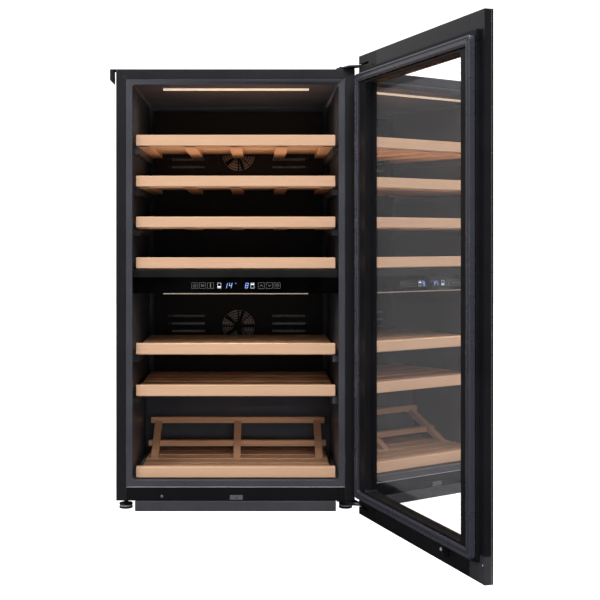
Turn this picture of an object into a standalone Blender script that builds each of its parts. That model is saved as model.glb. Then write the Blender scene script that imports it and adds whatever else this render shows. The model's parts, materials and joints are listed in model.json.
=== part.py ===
"""Built-in two-zone wine cooler with a hinged glass door, wooden shelves and its cooling parts.

Metres, +Z up, +X to the right, +Y to the back. The origin lies on the floor, on the centre line, in the
plane of the cabinet's front, under the plinth. The door is drawn closed around its hinge axis and then
opened, the way it is shown, by the empty that carries it.
"""

import math

import bmesh
import bpy
from mathutils import Vector

# ---- clearances and sheet -------------------------------------------------------------------------
GAP = 0.0003  # between pieces that touch
SHEET = 0.001  # steel sheet
SKIN = 0.002  # moulded plastic wall

# ---- cabinet ---------------------------------------------------------------------------------------
CABINET_HALF = 0.278  # half the width
CABINET_DEPTH = 0.545
CABINET_BOTTOM = 0.0240
CABINET_TOP = 1.0287
FLANGE = 0.023  # width of the steel edge around the front
PANEL_TOP = 0.0560  # upper edge of the strip below the opening

# ---- inner liner -----------------------------------------------------------------------------------
OPENING_HALF = 0.2408
OPENING_BOTTOM = 0.0710
OPENING_TOP = 0.9933
OPENING_RADIUS = 0.0080
CAVITY_BACK = 0.455
STEP_FRONT = 0.345  # the floor rises here, over the machine bay
STEP_TOP = 0.245
LIP_FRONT = 0.0005

# ---- machine bay -----------------------------------------------------------------------------------
BAY_FRONT = 0.375
BAY_TOP = 0.215
PAN_TOP = 0.0285

# ---- shelves ---------------------------------------------------------------------------------------
SHELF_HALF = 0.2338
FRONT_Y = 0.020  # front face of the shelf fronts and of the control panel
FRONT_THICK = 0.018
FRONT_TALL = 0.0253
RACK_DROP = 0.003  # the rack hangs this far below its front
RACK_TALL = 0.018
RACK_HALF = 0.2330
RACK_BACK = 0.408
DISPLAY_HALF = 0.2250  # clears the rounded corners of the floor
DISPLAY_BACK = 0.335
UPPER_SHELVES = 4
UPPER_BASE = 0.5646
UPPER_PITCH = 0.0959
LOWER_SHELVES = 2
LOWER_BASE = 0.2650
LOWER_PITCH = 0.0980
DISPLAY_BASE = 0.0735
RAIL_REACH = 0.013  # how far the moulded rails stand in from the walls
RAIL_TALL = 0.016

# ---- divider between the zones ---------------------------------------------------------------------
DIVIDER_BOTTOM = 0.5060
DIVIDER_TOP = 0.5613
PANEL_GLASS_TOP = 0.5430
PANEL_GLASS_THICK = 0.004

# ---- door, closed, measured from the hinge axis ----------------------------------------------------
HINGE_X = 0.2958
HINGE_Y = -0.0326
OPEN_ANGLE = 107.7  # degrees
SLAB_LEFT = -0.5900
SLAB_RIGHT = 0.0040
SLAB_BOTTOM = 0.0012
SLAB_TOP = 1.0535
GLASS_FRONT = -0.0075
GLASS_BACK = -0.0038
FRAME_FRONT = -0.0035
FRAME_BACK = 0.0105
SIGHT_LEFT = -0.2321 - HINGE_X  # edges of the clear glass
SIGHT_RIGHT = 0.2231 - HINGE_X
SIGHT_BOTTOM = 0.096
SIGHT_TOP = 0.963
PANE_BOTTOM = 0.0583
PANE_TOP = 0.9987
PANE_BITE = 0.0117  # the sealed unit reaches this far past the clear glass at the sides
SPACER_BACK = 0.0085
SEAL_HALF = 0.2764
SEAL_WIDTH = 0.0195
SEAL_BOTTOM = 0.0442
SEAL_TOP = 1.0078
SEAL_FACE = -HINGE_Y - 0.0004  # just clear of the cabinet front when closed
SEAT = 0.0190  # the seal stands on this face of the inner frame
RIM = 0.0275  # highest face of the inner frame
CAP_TALL = 0.0330
CAP_LONG = 0.0998
FREE_CAP_WIDE = 0.0580
FREE_CAP_TALL = 0.0520
CATCH_X = -0.4370
PIN_RADIUS = 0.0025
PIN_HOLE = 0.0026
PLATE_TALL = 0.0035
SLOT_TALL = 0.0048
SLOT_LONG = 0.052
TOP_PLATE = 1.0305  # underside of the upper hinge plate
BOTTOM_PLATE = 0.0190  # underside of the lower hinge plate

# ---- feet and cooling parts ------------------------------------------------------------------------
FOOT_X = 0.2588
FOOT_Y = (0.036, 0.500)
FOOT_RADIUS = 0.016
STEM_RADIUS = 0.005
FAN_RADIUS = 0.042
DUCT_HALF = 0.226
DUCT_FRONT = 0.415
UPPER_FAN_Z = 0.860
LOWER_FAN_Z = 0.400
BAY_FAN_Z = 0.092
BAY_FAN_Y = 0.460

SIDES = 24  # sides of a round piece


# ---- small tools -----------------------------------------------------------------------------------
def clear_scene():
    for old in list(bpy.data.objects):
        bpy.data.objects.remove(old, do_unlink=True)


def linear(level):
    """An 8-bit display level as a linear one."""
    value = level / 255
    return value / 12.92 if value <= 0.04045 else ((value + 0.055) / 1.055) ** 2.4


def material(name, rgb, roughness, metallic=0.0):
    made = bpy.data.materials.new(name)
    made.use_nodes = True
    shader = made.node_tree.nodes["Principled BSDF"]
    shader.inputs["Base Color"].default_value = (*[linear(level) for level in rgb], 1)
    shader.inputs["Roughness"].default_value = roughness
    shader.inputs["Metallic"].default_value = metallic
    made.diffuse_color = (*[linear(level) for level in rgb], 1)
    return made


def object_from(name, shape, finish=None, parent=None, location=(0, 0, 0)):
    """The bmesh as a named object; the bmesh is used up."""
    bmesh.ops.recalc_face_normals(shape, faces=shape.faces)
    mesh = bpy.data.meshes.new(name)
    shape.to_mesh(mesh)
    shape.free()
    made = bpy.data.objects.new(name, mesh)
    bpy.context.collection.objects.link(made)
    made.location = location
    made.parent = parent
    if finish:
        mesh.materials.append(finish)
    return made


def add_box(shape, low, high):
    corners = [
        shape.verts.new((x, y, z))
        for x in (low[0], high[0])
        for y in (low[1], high[1])
        for z in (low[2], high[2])
    ]
    for face in ((0, 1, 3, 2), (4, 6, 7, 5), (0, 4, 5, 1), (2, 3, 7, 6), (0, 2, 6, 4), (1, 5, 7, 3)):
        shape.faces.new([corners[i] for i in face])


def boxes(name, bounds, finish=None, parent=None):
    """One object of boxes that don't touch; bounds is a list of (low, high)."""
    shape = bmesh.new()
    for low, high in bounds:
        add_box(shape, low, high)
    return object_from(name, shape, finish, parent)


def box(name, low, high, finish=None, parent=None):
    return boxes(name, [(low, high)], finish, parent)


def loft(shape, loops, closed=False):
    """Bridges loops of as many points each; caps the two ends, or joins the last loop to the first."""
    rings = [[shape.verts.new(point) for point in loop] for loop in loops]
    pairs = list(zip(rings, rings[1:]))
    if closed:
        pairs.append((rings[-1], rings[0]))
    for first, second in pairs:
        for i in range(len(first)):
            j = (i + 1) % len(first)
            shape.faces.new((first[i], first[j], second[j], second[i]))
    if not closed:
        shape.faces.new(rings[0])
        shape.faces.new(rings[-1])


def prism(name, outline, axis, start, end, finish=None, parent=None):
    """The outline, in the two coordinates other than axis, drawn out along axis."""
    shape = bmesh.new()
    loops = []
    for level in (start, end):
        loop = []
        for u, v in outline:
            loop.append({"X": (level, u, v), "Y": (u, level, v), "Z": (u, v, level)}[axis])
        loops.append(loop)
    loft(shape, loops)
    return object_from(name, shape, finish, parent)


def circle(radius, sides=SIDES, centre=(0, 0)):
    turns = [2 * math.pi * i / sides for i in range(sides)]
    return [(centre[0] + radius * math.cos(a), centre[1] + radius * math.sin(a)) for a in turns]


def turned(name, profile, axis="Z", sides=SIDES, finish=None, parent=None, location=(0, 0, 0)):
    """A solid of revolution from (radius, height) points, about Z, X or Y through its own origin."""
    shape = bmesh.new()
    loops = []
    for radius, height in profile:
        ring = circle(radius, sides)
        if axis == "Z":
            loops.append([(u, v, height) for u, v in ring])
        elif axis == "Y":
            loops.append([(u, height, v) for u, v in ring])
        else:
            loops.append([(height, u, v) for u, v in ring])
    loft(shape, loops)
    return object_from(name, shape, finish, parent, location)


def settle(target):
    """Takes the modifiers' result as the object's own mesh."""
    bpy.context.view_layer.update()
    graph = bpy.context.evaluated_depsgraph_get()
    mesh = bpy.data.meshes.new_from_object(target.evaluated_get(graph))
    target.modifiers.clear()
    target.data = mesh


def combine(target, tool, operation):
    """Boolean with the exact solver; the tool is used up."""
    modifier = target.modifiers.new(operation, "BOOLEAN")
    modifier.operation = operation
    modifier.solver = "EXACT"
    modifier.object = tool
    settle(target)
    bpy.data.objects.remove(tool, do_unlink=True)
    return target


def joined(target, tool):
    return combine(target, tool, "UNION")


def cut(target, tool):
    return combine(target, tool, "DIFFERENCE")


def rectangle(left, right, bottom, top, radius, steps=3):
    """Points of a rectangle with rounded corners, in X and Z."""
    points = []
    corners = ((right, top, 0), (left, top, 90), (left, bottom, 180), (right, bottom, 270))
    for x, z, start in corners:
        cx = x - radius if x == right else x + radius
        cz = z - radius if z == top else z + radius
        for i in range(steps + 1):
            angle = math.radians(start + 90 * i / steps)
            points.append((cx + radius * math.cos(angle), cz + radius * math.sin(angle)))
    return points


def frame_ring(name, section, finish, parent):
    """A closed frame: each entry of section is a rectangle (left, right, bottom, top), its radius and its Y."""
    shape = bmesh.new()
    loops = [[(x, y, z) for x, z in rectangle(*edges, radius)] for edges, radius, y in section]
    loft(shape, loops, closed=True)
    return object_from(name, shape, finish, parent)


def smooth(target, degrees=35):
    target.data.shade_smooth()
    target.data.set_sharp_from_angle(angle=math.radians(degrees))
    return target


# ---- finishes --------------------------------------------------------------------------------------
def make_finishes():
    return {
        "black_steel": material("black_steel", (34, 35, 38), 0.35, 0.2),
        "black_plastic": material("black_plastic", (24, 24, 26), 0.5),
        "liner_plastic": material("liner_plastic", (38, 39, 42), 0.4),
        "zinc_steel": material("zinc_steel", (150, 152, 155), 0.4, 0.9),
        "hinge_steel": material("hinge_steel", (40, 41, 44), 0.35, 0.6),
        "plinth_grey": material("plinth_grey", (75, 74, 79), 0.45, 0.2),
        "foam": material("foam", (225, 205, 150), 0.9),
        "door_plastic": material("door_plastic", (52, 52, 56), 0.45),
        "seal_rubber": material("seal_rubber", (44, 44, 50), 0.5),
        "tinted_glass": material("tinted_glass", (30, 33, 34), 0.05),
        "spacer_black": material("spacer_black", (30, 30, 32), 0.4),
        "panel_glass": material("panel_glass", (8, 8, 10), 0.08),
        "circuit_green": material("circuit_green", (30, 84, 52), 0.6),
        "light_white": material("light_white", (247, 232, 212), 0.5),
        "beech": material("beech", (225, 186, 158), 0.6),
        "beech_rack": material("beech_rack", (205, 160, 125), 0.65),
        "aluminium": material("aluminium", (190, 192, 195), 0.35, 1.0),
        "compressor_black": material("compressor_black", (22, 22, 24), 0.4),
        "rubber": material("rubber", (20, 20, 20), 0.8),
    }


# ---- cabinet shell ---------------------------------------------------------------------------------
def side_panel(name, side, finish):
    """A folded sheet: the side wall and its front flange, cut at 45 degrees where it meets the top."""
    outer = side * CABINET_HALF
    inner = side * (CABINET_HALF - SHEET)
    flange_edge = side * (CABINET_HALF - FLANGE)
    plan = [
        (outer, 0),
        (flange_edge, 0),
        (flange_edge, SHEET),
        (inner, SHEET),
        (inner, CABINET_DEPTH - SHEET - GAP),
        (outer, CABINET_DEPTH - SHEET - GAP),
    ]
    shape = bmesh.new()
    lower = [(x, y, CABINET_BOTTOM) for x, y in plan]
    upper = [(x, y, CABINET_TOP - (CABINET_HALF - abs(x))) for x, y in plan]
    loft(shape, [lower, upper])
    return object_from(name, shape, finish)


def top_panel(finish):
    """A folded sheet: the top and its front flange, with mitred ends."""
    section = [
        (0, CABINET_TOP),
        (0, CABINET_TOP - FLANGE),
        (SHEET, CABINET_TOP - FLANGE),
        (SHEET, CABINET_TOP - SHEET),
        (CABINET_DEPTH - SHEET - GAP, CABINET_TOP - SHEET),
        (CABINET_DEPTH - SHEET - GAP, CABINET_TOP),
    ]
    mitre_gap = GAP * math.sqrt(2)
    shape = bmesh.new()
    loops = []
    for side in (-1, 1):
        loops.append(
            [(side * (CABINET_HALF - mitre_gap - (CABINET_TOP - z)), y, z) for y, z in section]
        )
    loft(shape, loops)
    return object_from("top_panel", shape, finish)


def back_panel(finish):
    """The rear sheet, with air slots over the machine bay and a window for the mains inlet."""
    half = CABINET_HALF - SHEET - GAP
    low = (-half, CABINET_DEPTH - SHEET, PAN_TOP + GAP)
    panel = box("back_panel", low, (half, CABINET_DEPTH, CABINET_TOP - SHEET - GAP), finish)
    openings = []
    for i in range(6):
        z = 0.052 + 0.020 * i
        openings.append(((-0.17, CABINET_DEPTH - 0.01, z), (0.19, CABINET_DEPTH + 0.01, z + 0.009)))
    openings.append(((-0.2643, CABINET_DEPTH - 0.01, 0.1497), (-0.2117, CABINET_DEPTH + 0.01, 0.1833)))
    return cut(panel, boxes("slots", openings))


def bottom_front_panel(finish):
    """The folded strip under the opening."""
    section = [
        (0, PANEL_TOP),
        (0, CABINET_BOTTOM),
        (0.030, CABINET_BOTTOM),
        (0.030, CABINET_BOTTOM + SHEET),
        (SHEET, CABINET_BOTTOM + SHEET),
        (SHEET, PANEL_TOP),
    ]
    half = CABINET_HALF - FLANGE - GAP
    return prism("bottom_front_panel", section, "X", -half, half, finish)


def fixing_plate(finish):
    """The small plate on the strip, with one screw hole."""
    plate = box("fixing_plate", (-0.0130, -0.0018, 0.0266), (0.0170, -GAP, 0.0373), finish)
    hole = prism("hole", circle(0.0019, 12, (0.0030, 0.0305)), "Y", -0.01, 0.01)
    return cut(plate, hole)


def base_pan(finish):
    """The pan that closes the cabinet below and takes the feet."""
    half = CABINET_HALF - SHEET - GAP
    pan = box(
        "base_pan",
        (-half, SHEET + GAP, CABINET_BOTTOM + SHEET + GAP),
        (half, CABINET_DEPTH - SHEET - GAP, PAN_TOP),
        finish,
    )
    for x in (-FOOT_X, FOOT_X):
        for y in FOOT_Y:
            cut(pan, prism("seat", circle(STEM_RADIUS + GAP, 16, (x, y)), "Z", 0.0, 0.1))
    return pan


def levelling_foot(name, x, y, finish):
    profile = [
        (FOOT_RADIUS - 0.001, 0.0),
        (FOOT_RADIUS, 0.001),
        (FOOT_RADIUS, 0.004),
        (0.0125, 0.009),
        (0.0085, 0.009),
        (0.0085, 0.014),
        (STEM_RADIUS, 0.014),
        (STEM_RADIUS, PAN_TOP - GAP),
    ]
    return smooth(turned(name, profile, sides=16, finish=finish, location=(x, y, 0)))


def plinth(finish):
    """A channel that closes the gap to the floor."""
    front, back, top, wall = -0.004, 0.014, CABINET_BOTTOM - GAP, 0.0015
    section = [
        (front, 0),
        (back, 0),
        (back, wall),
        (front + wall, wall),
        (front + wall, top - wall),
        (back, top - wall),
        (back, top),
        (front, top),
    ]
    return prism("plinth", section, "X", -SHELF_HALF, SHELF_HALF, finish)


def fixing_bracket(finish):
    """The bracket on the top left edge, whose leg grips the furniture side."""
    top = CABINET_TOP + GAP + 0.0027
    outline = [
        (-0.2352, CABINET_TOP + GAP),
        (-0.2352, top),
        (-0.2950, top),
        (-0.2950, 1.0062),
        (-0.2862, 0.9980),
        (-0.2862, CABINET_TOP + GAP),
    ]
    return prism("fixing_bracket", outline, "Y", 0.020, 0.052, finish)


# ---- liner and foam --------------------------------------------------------------------------------
def tub(name, grow, front, finish=None):
    """The cavity's outline, grown by grow on every side, from front to its back wall."""
    low, high = OPENING_BOTTOM - grow, OPENING_TOP + grow
    half, step = OPENING_HALF + grow, STEP_TOP - grow
    outline = [
        (front, low),
        (STEP_FRONT + grow, low),
        (STEP_FRONT + grow, step),
        (CAVITY_BACK + grow, step),
        (CAVITY_BACK + grow, high),
        (front, high),
    ]
    shape = bmesh.new()
    loft(shape, [[(x, y, z) for y, z in outline] for x in (-half, half)])
    corners = []
    for edge in shape.edges:
        a, b = edge.verts
        along_y = abs(a.co.z - b.co.z) < 1e-6 and abs(a.co.x - b.co.x) < 1e-6
        if along_y and (abs(a.co.z - low) < 1e-6 or abs(a.co.z - high) < 1e-6):
            corners.append(edge)
    bmesh.ops.bevel(
        shape,
        geom=corners,
        offset=OPENING_RADIUS + grow,
        offset_type="OFFSET",
        segments=4,
        profile=0.5,
        affect="EDGES",
    )
    return object_from(name, shape, finish)


def rail_heights():
    """Undersides of the racks that slide on moulded rails."""
    upper = [UPPER_BASE + UPPER_PITCH * i for i in range(1, UPPER_SHELVES)]
    lower = [LOWER_BASE + LOWER_PITCH * i for i in range(LOWER_SHELVES)]
    return [base - RACK_DROP for base in upper + lower]


def inner_liner(finish):
    liner = tub("inner_liner", SKIN, LIP_FRONT, finish)
    half = CABINET_HALF - FLANGE - GAP
    lip_low, lip_high = PANEL_TOP + GAP, CABINET_TOP - FLANGE - GAP
    lip = box("lip", (-half, LIP_FRONT, lip_low), (half, LIP_FRONT + SKIN, lip_high))
    joined(liner, lip)
    cut(liner, tub("cavity", 0.0, -0.010))
    rails = []
    wall = OPENING_HALF + 0.5 * SKIN
    reach = OPENING_HALF - RAIL_REACH
    for underside in rail_heights():
        top = underside - GAP
        for left, right in ((-wall, -reach), (reach, wall)):
            rails.append(((left, 0.032, top - RAIL_TALL), (right, DUCT_FRONT - 0.003, top)))
    return joined(liner, boxes("rails", rails))


def insulation(finish):
    half = CABINET_HALF - SHEET - GAP
    front = LIP_FRONT + SKIN + GAP
    block = box(
        "insulation",
        (-half, front, PAN_TOP + GAP),
        (half, CABINET_DEPTH - SHEET - GAP, CABINET_TOP - SHEET - GAP),
        finish,
    )
    cut(block, tub("cavity", SKIN + GAP, -0.010))
    bay = box("bay", (-1, BAY_FRONT, -1), (1, 1, BAY_TOP))
    cut(block, bay)
    strip = box("strip", (-1, -1, -1), (1, 0.0303, CABINET_BOTTOM + SHEET + GAP))
    return cut(block, strip)


# ---- divider, panel and lights ---------------------------------------------------------------------
def zone_divider(finish):
    """The insulated wall between the zones, with a pocket for the electronics behind the panel."""
    half = OPENING_HALF - 0.0004
    panel_back = FRONT_Y + PANEL_GLASS_THICK + GAP
    outline = [
        (FRONT_Y, DIVIDER_TOP),
        (FRONT_Y, PANEL_GLASS_TOP + GAP),
        (panel_back, PANEL_GLASS_TOP + GAP),
        (panel_back, DIVIDER_BOTTOM),
        (CAVITY_BACK - GAP, DIVIDER_BOTTOM),
        (CAVITY_BACK - GAP, DIVIDER_TOP),
    ]
    divider = prism("zone_divider", outline, "X", -half, half, finish)
    return cut(divider, box("pocket", (-0.105, 0.0, 0.511), (0.105, 0.038, 0.538)))


def control_panel(finish):
    half = OPENING_HALF - 0.0004
    low = (-half, FRONT_Y, DIVIDER_BOTTOM + 0.0002)
    return box("control_panel", low, (half, FRONT_Y + PANEL_GLASS_THICK, PANEL_GLASS_TOP), finish)


def control_board(finish):
    """A circuit board with its display block and sensor chips."""
    board = box("control_board", (-0.100, 0.0300, 0.513), (0.100, 0.0316, 0.536), finish)
    return joined(board, boxes("chips", [
        ((-0.020, 0.0255, 0.517), (0.012, 0.0305, 0.532)),
        ((-0.072, 0.0265, 0.519), (-0.040, 0.0305, 0.530)),
        ((0.034, 0.0265, 0.519), (0.066, 0.0305, 0.530)),
    ]))


def light_strips(finish):
    ceiling = OPENING_TOP - GAP
    upper = box("light_strip_upper", (-0.174, 0.071, ceiling - 0.0055), (0.174, 0.083, ceiling), finish)
    under = DIVIDER_BOTTOM - GAP
    lower = box("light_strip_lower", (-0.170, 0.0245, under - 0.0032), (0.170, 0.0325, under), finish)
    return upper, lower


# ---- shelves ---------------------------------------------------------------------------------------
def shelf_front(name, base, finish):
    """The board across the front, with softened edges."""
    front = box(
        name,
        (-SHELF_HALF, FRONT_Y, base),
        (SHELF_HALF, FRONT_Y + FRONT_THICK, base + FRONT_TALL),
        finish,
    )
    edge = front.modifiers.new("softened", "BEVEL")
    edge.width = 0.0008
    edge.segments = 1
    settle(front)
    return front


def rack_bars(half, back):
    """Bounds of the runners, which run front to back, and of the slats across them, at base height 0."""
    low, high = -RACK_DROP, RACK_TALL - RACK_DROP
    start = FRONT_Y + FRONT_THICK + GAP
    runner_half = 0.015
    outer = half - runner_half
    runners = []
    for i in range(5):
        x = outer * (i - 2) / 2
        runners.append(((x - runner_half, start, low), (x + runner_half, back, high - 0.006)))
    slats = [((-half, start + 0.0002, low + 0.0002), (half, start + 0.020, high))]
    count = round((back - start - 0.020) / 0.0585)
    pitch = (back - start - 0.020) / count
    for i in range(count):
        y = start + 0.020 + pitch * (i + 1)
        slats.append(((-half + 0.0002, y - 0.043, high - 0.007), (half - 0.0002, y - 0.0002, high)))
    return runners, slats


def shelf_rack(name, base, half, back, finish):
    runners, slats = rack_bars(half, back)
    rack = boxes(name, runners, finish)
    joined(rack, boxes("slats", slats))
    rack.location = (0, 0, base)
    return rack


def display_rack(finish):
    """The lowest shelf: a short rack with two rests on struts, for bottles that lean back."""
    base = OPENING_BOTTOM + GAP + RACK_DROP
    rack = shelf_rack("display_rack", base, DISPLAY_HALF, DISPLAY_BACK, finish)
    for x in (-0.205, 0.0, 0.205):
        slope = [(0.180, 0.0860), (0.200, 0.0860), (0.334, 0.157), (0.334, 0.170), (0.324, 0.170)]
        joined(rack, prism("strut", slope, "X", x - 0.009, x + 0.009))
    joined(rack, boxes("rests", [
        ((-0.2230, 0.2440, 0.1080), (0.2230, 0.2620, 0.1230)),
        ((-0.2230, 0.3120, 0.1560), (0.2230, 0.3335, 0.1720)),
    ]))
    return rack


def make_shelves(finishes):
    shelves = []
    for i in range(UPPER_SHELVES):
        shelves.append(UPPER_BASE + UPPER_PITCH * (UPPER_SHELVES - 1 - i))
    for i in range(LOWER_SHELVES):
        shelves.append(LOWER_BASE + LOWER_PITCH * (LOWER_SHELVES - 1 - i))
    for number, base in enumerate(shelves, start=1):
        shelf_front(f"shelf_front_{number}", base, finishes["beech"])
        shelf_rack(f"shelf_rack_{number}", base, RACK_HALF, RACK_BACK, finishes["beech_rack"])
    shelf_front("display_front", DISPLAY_BASE, finishes["beech"])
    display_rack(finishes["beech_rack"])


# ---- door ------------------------------------------------------------------------------------------
def door_axis():
    """The hinge axis: the door's pieces hang on this empty."""
    axis = bpy.data.objects.new("door_axis", None)
    bpy.context.collection.objects.link(axis)
    axis.location = (HINGE_X, HINGE_Y, 0)
    axis.rotation_euler = (0, 0, math.radians(OPEN_ANGLE))
    return axis


def pane_edges(clearance):
    """The sealed unit's outline, less clearance."""
    return (
        SIGHT_LEFT - PANE_BITE + clearance,
        SIGHT_RIGHT + PANE_BITE - clearance,
        PANE_BOTTOM + clearance,
        PANE_TOP - clearance,
    )


def cap_bounds(side, end):
    """Low and high corners of a corner cap: side is hinge or free, end is top or bottom."""
    if side == "hinge":
        left, right, tall = SLAB_RIGHT - CAP_LONG, SLAB_RIGHT - 0.0002, CAP_TALL
    else:
        left, right, tall = SLAB_LEFT + 0.0002, SLAB_LEFT + FREE_CAP_WIDE, FREE_CAP_TALL
    if end == "top":
        bottom, top = SLAB_TOP - 0.0002 - tall, SLAB_TOP - 0.0002
    else:
        bottom, top = SLAB_BOTTOM + 0.0002, SLAB_BOTTOM + 0.0002 + tall
    return (left, FRAME_FRONT, bottom), (right, FRAME_BACK, top)


def door_glass(finish, parent):
    low = (SLAB_LEFT, GLASS_FRONT, SLAB_BOTTOM)
    return box("door_glass", low, (SLAB_RIGHT, GLASS_BACK, SLAB_TOP), finish, parent)


def door_frame(finish, parent):
    """The ring of profile around the sealed unit, notched where the corner caps sit."""
    outer = (SLAB_LEFT + 0.0002, SLAB_RIGHT - 0.0002, SLAB_BOTTOM + 0.0002, SLAB_TOP - 0.0002)
    inner = pane_edges(-GAP)
    ring = [(outer, 0.001, FRAME_FRONT), (outer, 0.001, FRAME_BACK)]
    ring += [(inner, 0.001, FRAME_BACK), (inner, 0.001, FRAME_FRONT)]
    frame = frame_ring("door_frame", ring, finish, parent)
    notches = []
    for side in ("hinge", "free"):
        for end in ("top", "bottom"):
            low, high = cap_bounds(side, end)
            reach = 0.01
            low = [low[0] - GAP, low[1] - reach, low[2] - GAP]
            high = [high[0] + GAP, high[1] + reach, high[2] + GAP]
            if side == "hinge":
                high[0] += reach
            else:
                low[0] -= reach
            if end == "top":
                high[2] += reach
            else:
                low[2] -= reach
            notches.append((low, high))
    tool = boxes("notches", notches, parent=parent)
    return cut(frame, tool)


def spacer(finish, parent):
    outer = pane_edges(0.0)
    inner = (SIGHT_LEFT, SIGHT_RIGHT, SIGHT_BOTTOM, SIGHT_TOP)
    section = [(outer, 0.001, FRAME_FRONT), (outer, 0.001, SPACER_BACK)]
    section += [(inner, 0.002, SPACER_BACK), (inner, 0.002, FRAME_FRONT)]
    return frame_ring("glazing_spacer", section, finish, parent)


def inner_pane(finish, parent):
    left, right, bottom, top = pane_edges(0.0)
    low = (left, SPACER_BACK + GAP, bottom)
    return box("inner_pane", low, (right, SPACER_BACK + GAP + 0.004, top), finish, parent)


def seal_edges(inset):
    """The seal's outline, inset from its outer edge, as seen from the hinge axis."""
    return (
        -SEAL_HALF - HINGE_X + inset,
        SEAL_HALF - HINGE_X - inset,
        SEAL_BOTTOM + inset,
        SEAL_TOP - inset,
    )


def inner_frame(finish, parent):
    """The moulded frame that holds the glazing and carries the seal."""
    pane_back = SPACER_BACK + GAP + 0.004
    base = (-SEAL_HALF - 0.0002 - HINGE_X, SEAL_HALF + 0.0002 - HINGE_X, 0.0385, 1.0190)
    wall = seal_edges(SEAL_WIDTH + GAP)
    rim = (SIGHT_LEFT, SIGHT_RIGHT, 0.0670, 0.9810)
    recess = pane_edges(-0.001)
    section = [
        (base, 0.004, FRAME_BACK + GAP),
        (base, 0.004, SEAT),
        (wall, 0.006, SEAT),
        (wall, 0.006, RIM - 0.001),
        ([wall[0] + 0.001, wall[1] - 0.001, wall[2] + 0.001, wall[3] - 0.001], 0.005, RIM),
        (rim, 0.004, RIM),
        (rim, 0.004, pane_back + GAP),
        (recess, 0.002, pane_back + GAP),
        (recess, 0.002, FRAME_BACK + GAP),
    ]
    return smooth(frame_ring("inner_frame", section, finish, parent))


def door_seal(finish, parent):
    """The magnetic seal: a bellows with two ridges on its face."""
    face = [
        (0.000, SEAT + GAP),
        (0.000, SEAL_FACE - 0.0030),
        (0.002, SEAL_FACE - 0.0004),
        (0.004, SEAL_FACE),
        (0.006, SEAL_FACE - 0.0004),
        (0.0085, SEAL_FACE - 0.0030),
        (0.011, SEAL_FACE - 0.0004),
        (0.013, SEAL_FACE),
        (0.016, SEAL_FACE - 0.0004),
        (SEAL_WIDTH, SEAL_FACE - 0.0030),
        (SEAL_WIDTH, SEAT + GAP),
    ]
    section = [(seal_edges(inset), 0.004, y) for inset, y in face]
    return smooth(frame_ring("door_seal", section, finish, parent), 60)


def hinge_cap(end, finish, parent):
    """A corner cap with the slot that the hinge plate turns in and the hole for its pin."""
    low, high = cap_bounds("hinge", end)
    cap = box(f"hinge_cap_{end}", low, high, finish, parent)
    plate = TOP_PLATE if end == "top" else BOTTOM_PLATE
    slot_low = plate + 0.5 * (PLATE_TALL - SLOT_TALL)
    slot_high = slot_low + SLOT_TALL
    slot = box("slot", (-SLOT_LONG, -0.02, slot_low), (0.02, 0.02, slot_high), parent=parent)
    cut(cap, slot)
    if end == "top":
        start, stop = low[2] - 0.01, slot_high - 0.001
    else:
        start, stop = slot_low + 0.001, high[2] + 0.01
    return cut(cap, prism("pin_hole", circle(PIN_HOLE), "Z", start, stop, parent=parent))


def free_cap(end, finish, parent):
    """A plain corner cap at the handle side, with a softened outer corner and a screw recess."""
    low, high = cap_bounds("free", end)
    cap = box(f"free_cap_{end}", low, high, finish, parent)
    z = 0.036 if end == "bottom" else SLAB_TOP + SLAB_BOTTOM - 0.036
    recess = circle(0.0022, 12, (SLAB_LEFT + 0.0080, z))
    return cut(cap, prism("recess", recess, "Y", FRAME_BACK - 0.0015, FRAME_BACK + 0.01, parent=parent))


def door_catch(finish, parent):
    """The small catch on the lower rail: a plate with an upright rib, under the seal."""
    back = FRAME_BACK + GAP
    left, right = CATCH_X - 0.012, CATCH_X + 0.020
    outline = [
        (left, back),
        (right, back),
        (right, back + 0.004),
        (left + 0.0075, back + 0.004),
        (left + 0.0075, back + 0.011),
        (left + 0.0050, back + 0.013),
        (left + 0.0025, back + 0.011),
        (left, back + 0.002),
    ]
    return prism("door_catch", outline, "Z", 0.0176, 0.0360, finish, parent)


def hinge_plate(end, finish):
    """A plate fixed to the cabinet that reaches forward to a pin on the hinge axis."""
    under = TOP_PLATE if end == "top" else BOTTOM_PLATE
    nose = []
    for i in range(9):
        angle = math.radians(225 + 135 * i / 8)
        nose.append((HINGE_X + 0.003 * math.cos(angle), HINGE_Y + 0.003 * math.sin(angle)))
    right = HINGE_X + 0.001
    outline = [(0.236, 0.028), (0.236, 0.028 - 0.001), (0.262, -0.0265)] + nose
    outline += [(right, HINGE_Y + 0.0035), (right, -0.0180), (0.2775, 0.0010), (0.2775, 0.028)]
    plate = prism(f"hinge_plate_{end}", outline, "Z", under, under + PLATE_TALL, finish)
    if end == "top":
        pad = (CABINET_TOP + GAP, under + 0.5 * PLATE_TALL)
        pin = (0.0007 + SLAB_TOP - CAP_TALL, under + 0.5 * PLATE_TALL)
    else:
        pad = (under + 0.5 * PLATE_TALL, CABINET_BOTTOM - GAP)
        pin = (under + 0.5 * PLATE_TALL, SLAB_BOTTOM + CAP_TALL - 0.0015)
    joined(plate, box("pad", (0.2362, 0.0030, pad[0]), (0.2773, 0.0278, pad[1])))
    return joined(plate, prism("pin", circle(PIN_RADIUS, SIDES, (HINGE_X, HINGE_Y)), "Z", *pin))


def make_door(finishes):
    axis = door_axis()
    door_glass(finishes["tinted_glass"], axis)
    door_frame(finishes["door_plastic"], axis)
    spacer(finishes["spacer_black"], axis)
    inner_pane(finishes["tinted_glass"], axis)
    inner_frame(finishes["door_plastic"], axis)
    door_seal(finishes["seal_rubber"], axis)
    for end in ("top", "bottom"):
        hinge_cap(end, finishes["black_plastic"], axis)
        free_cap(end, finishes["black_plastic"], axis)
    door_catch(finishes["black_plastic"], axis)


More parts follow.
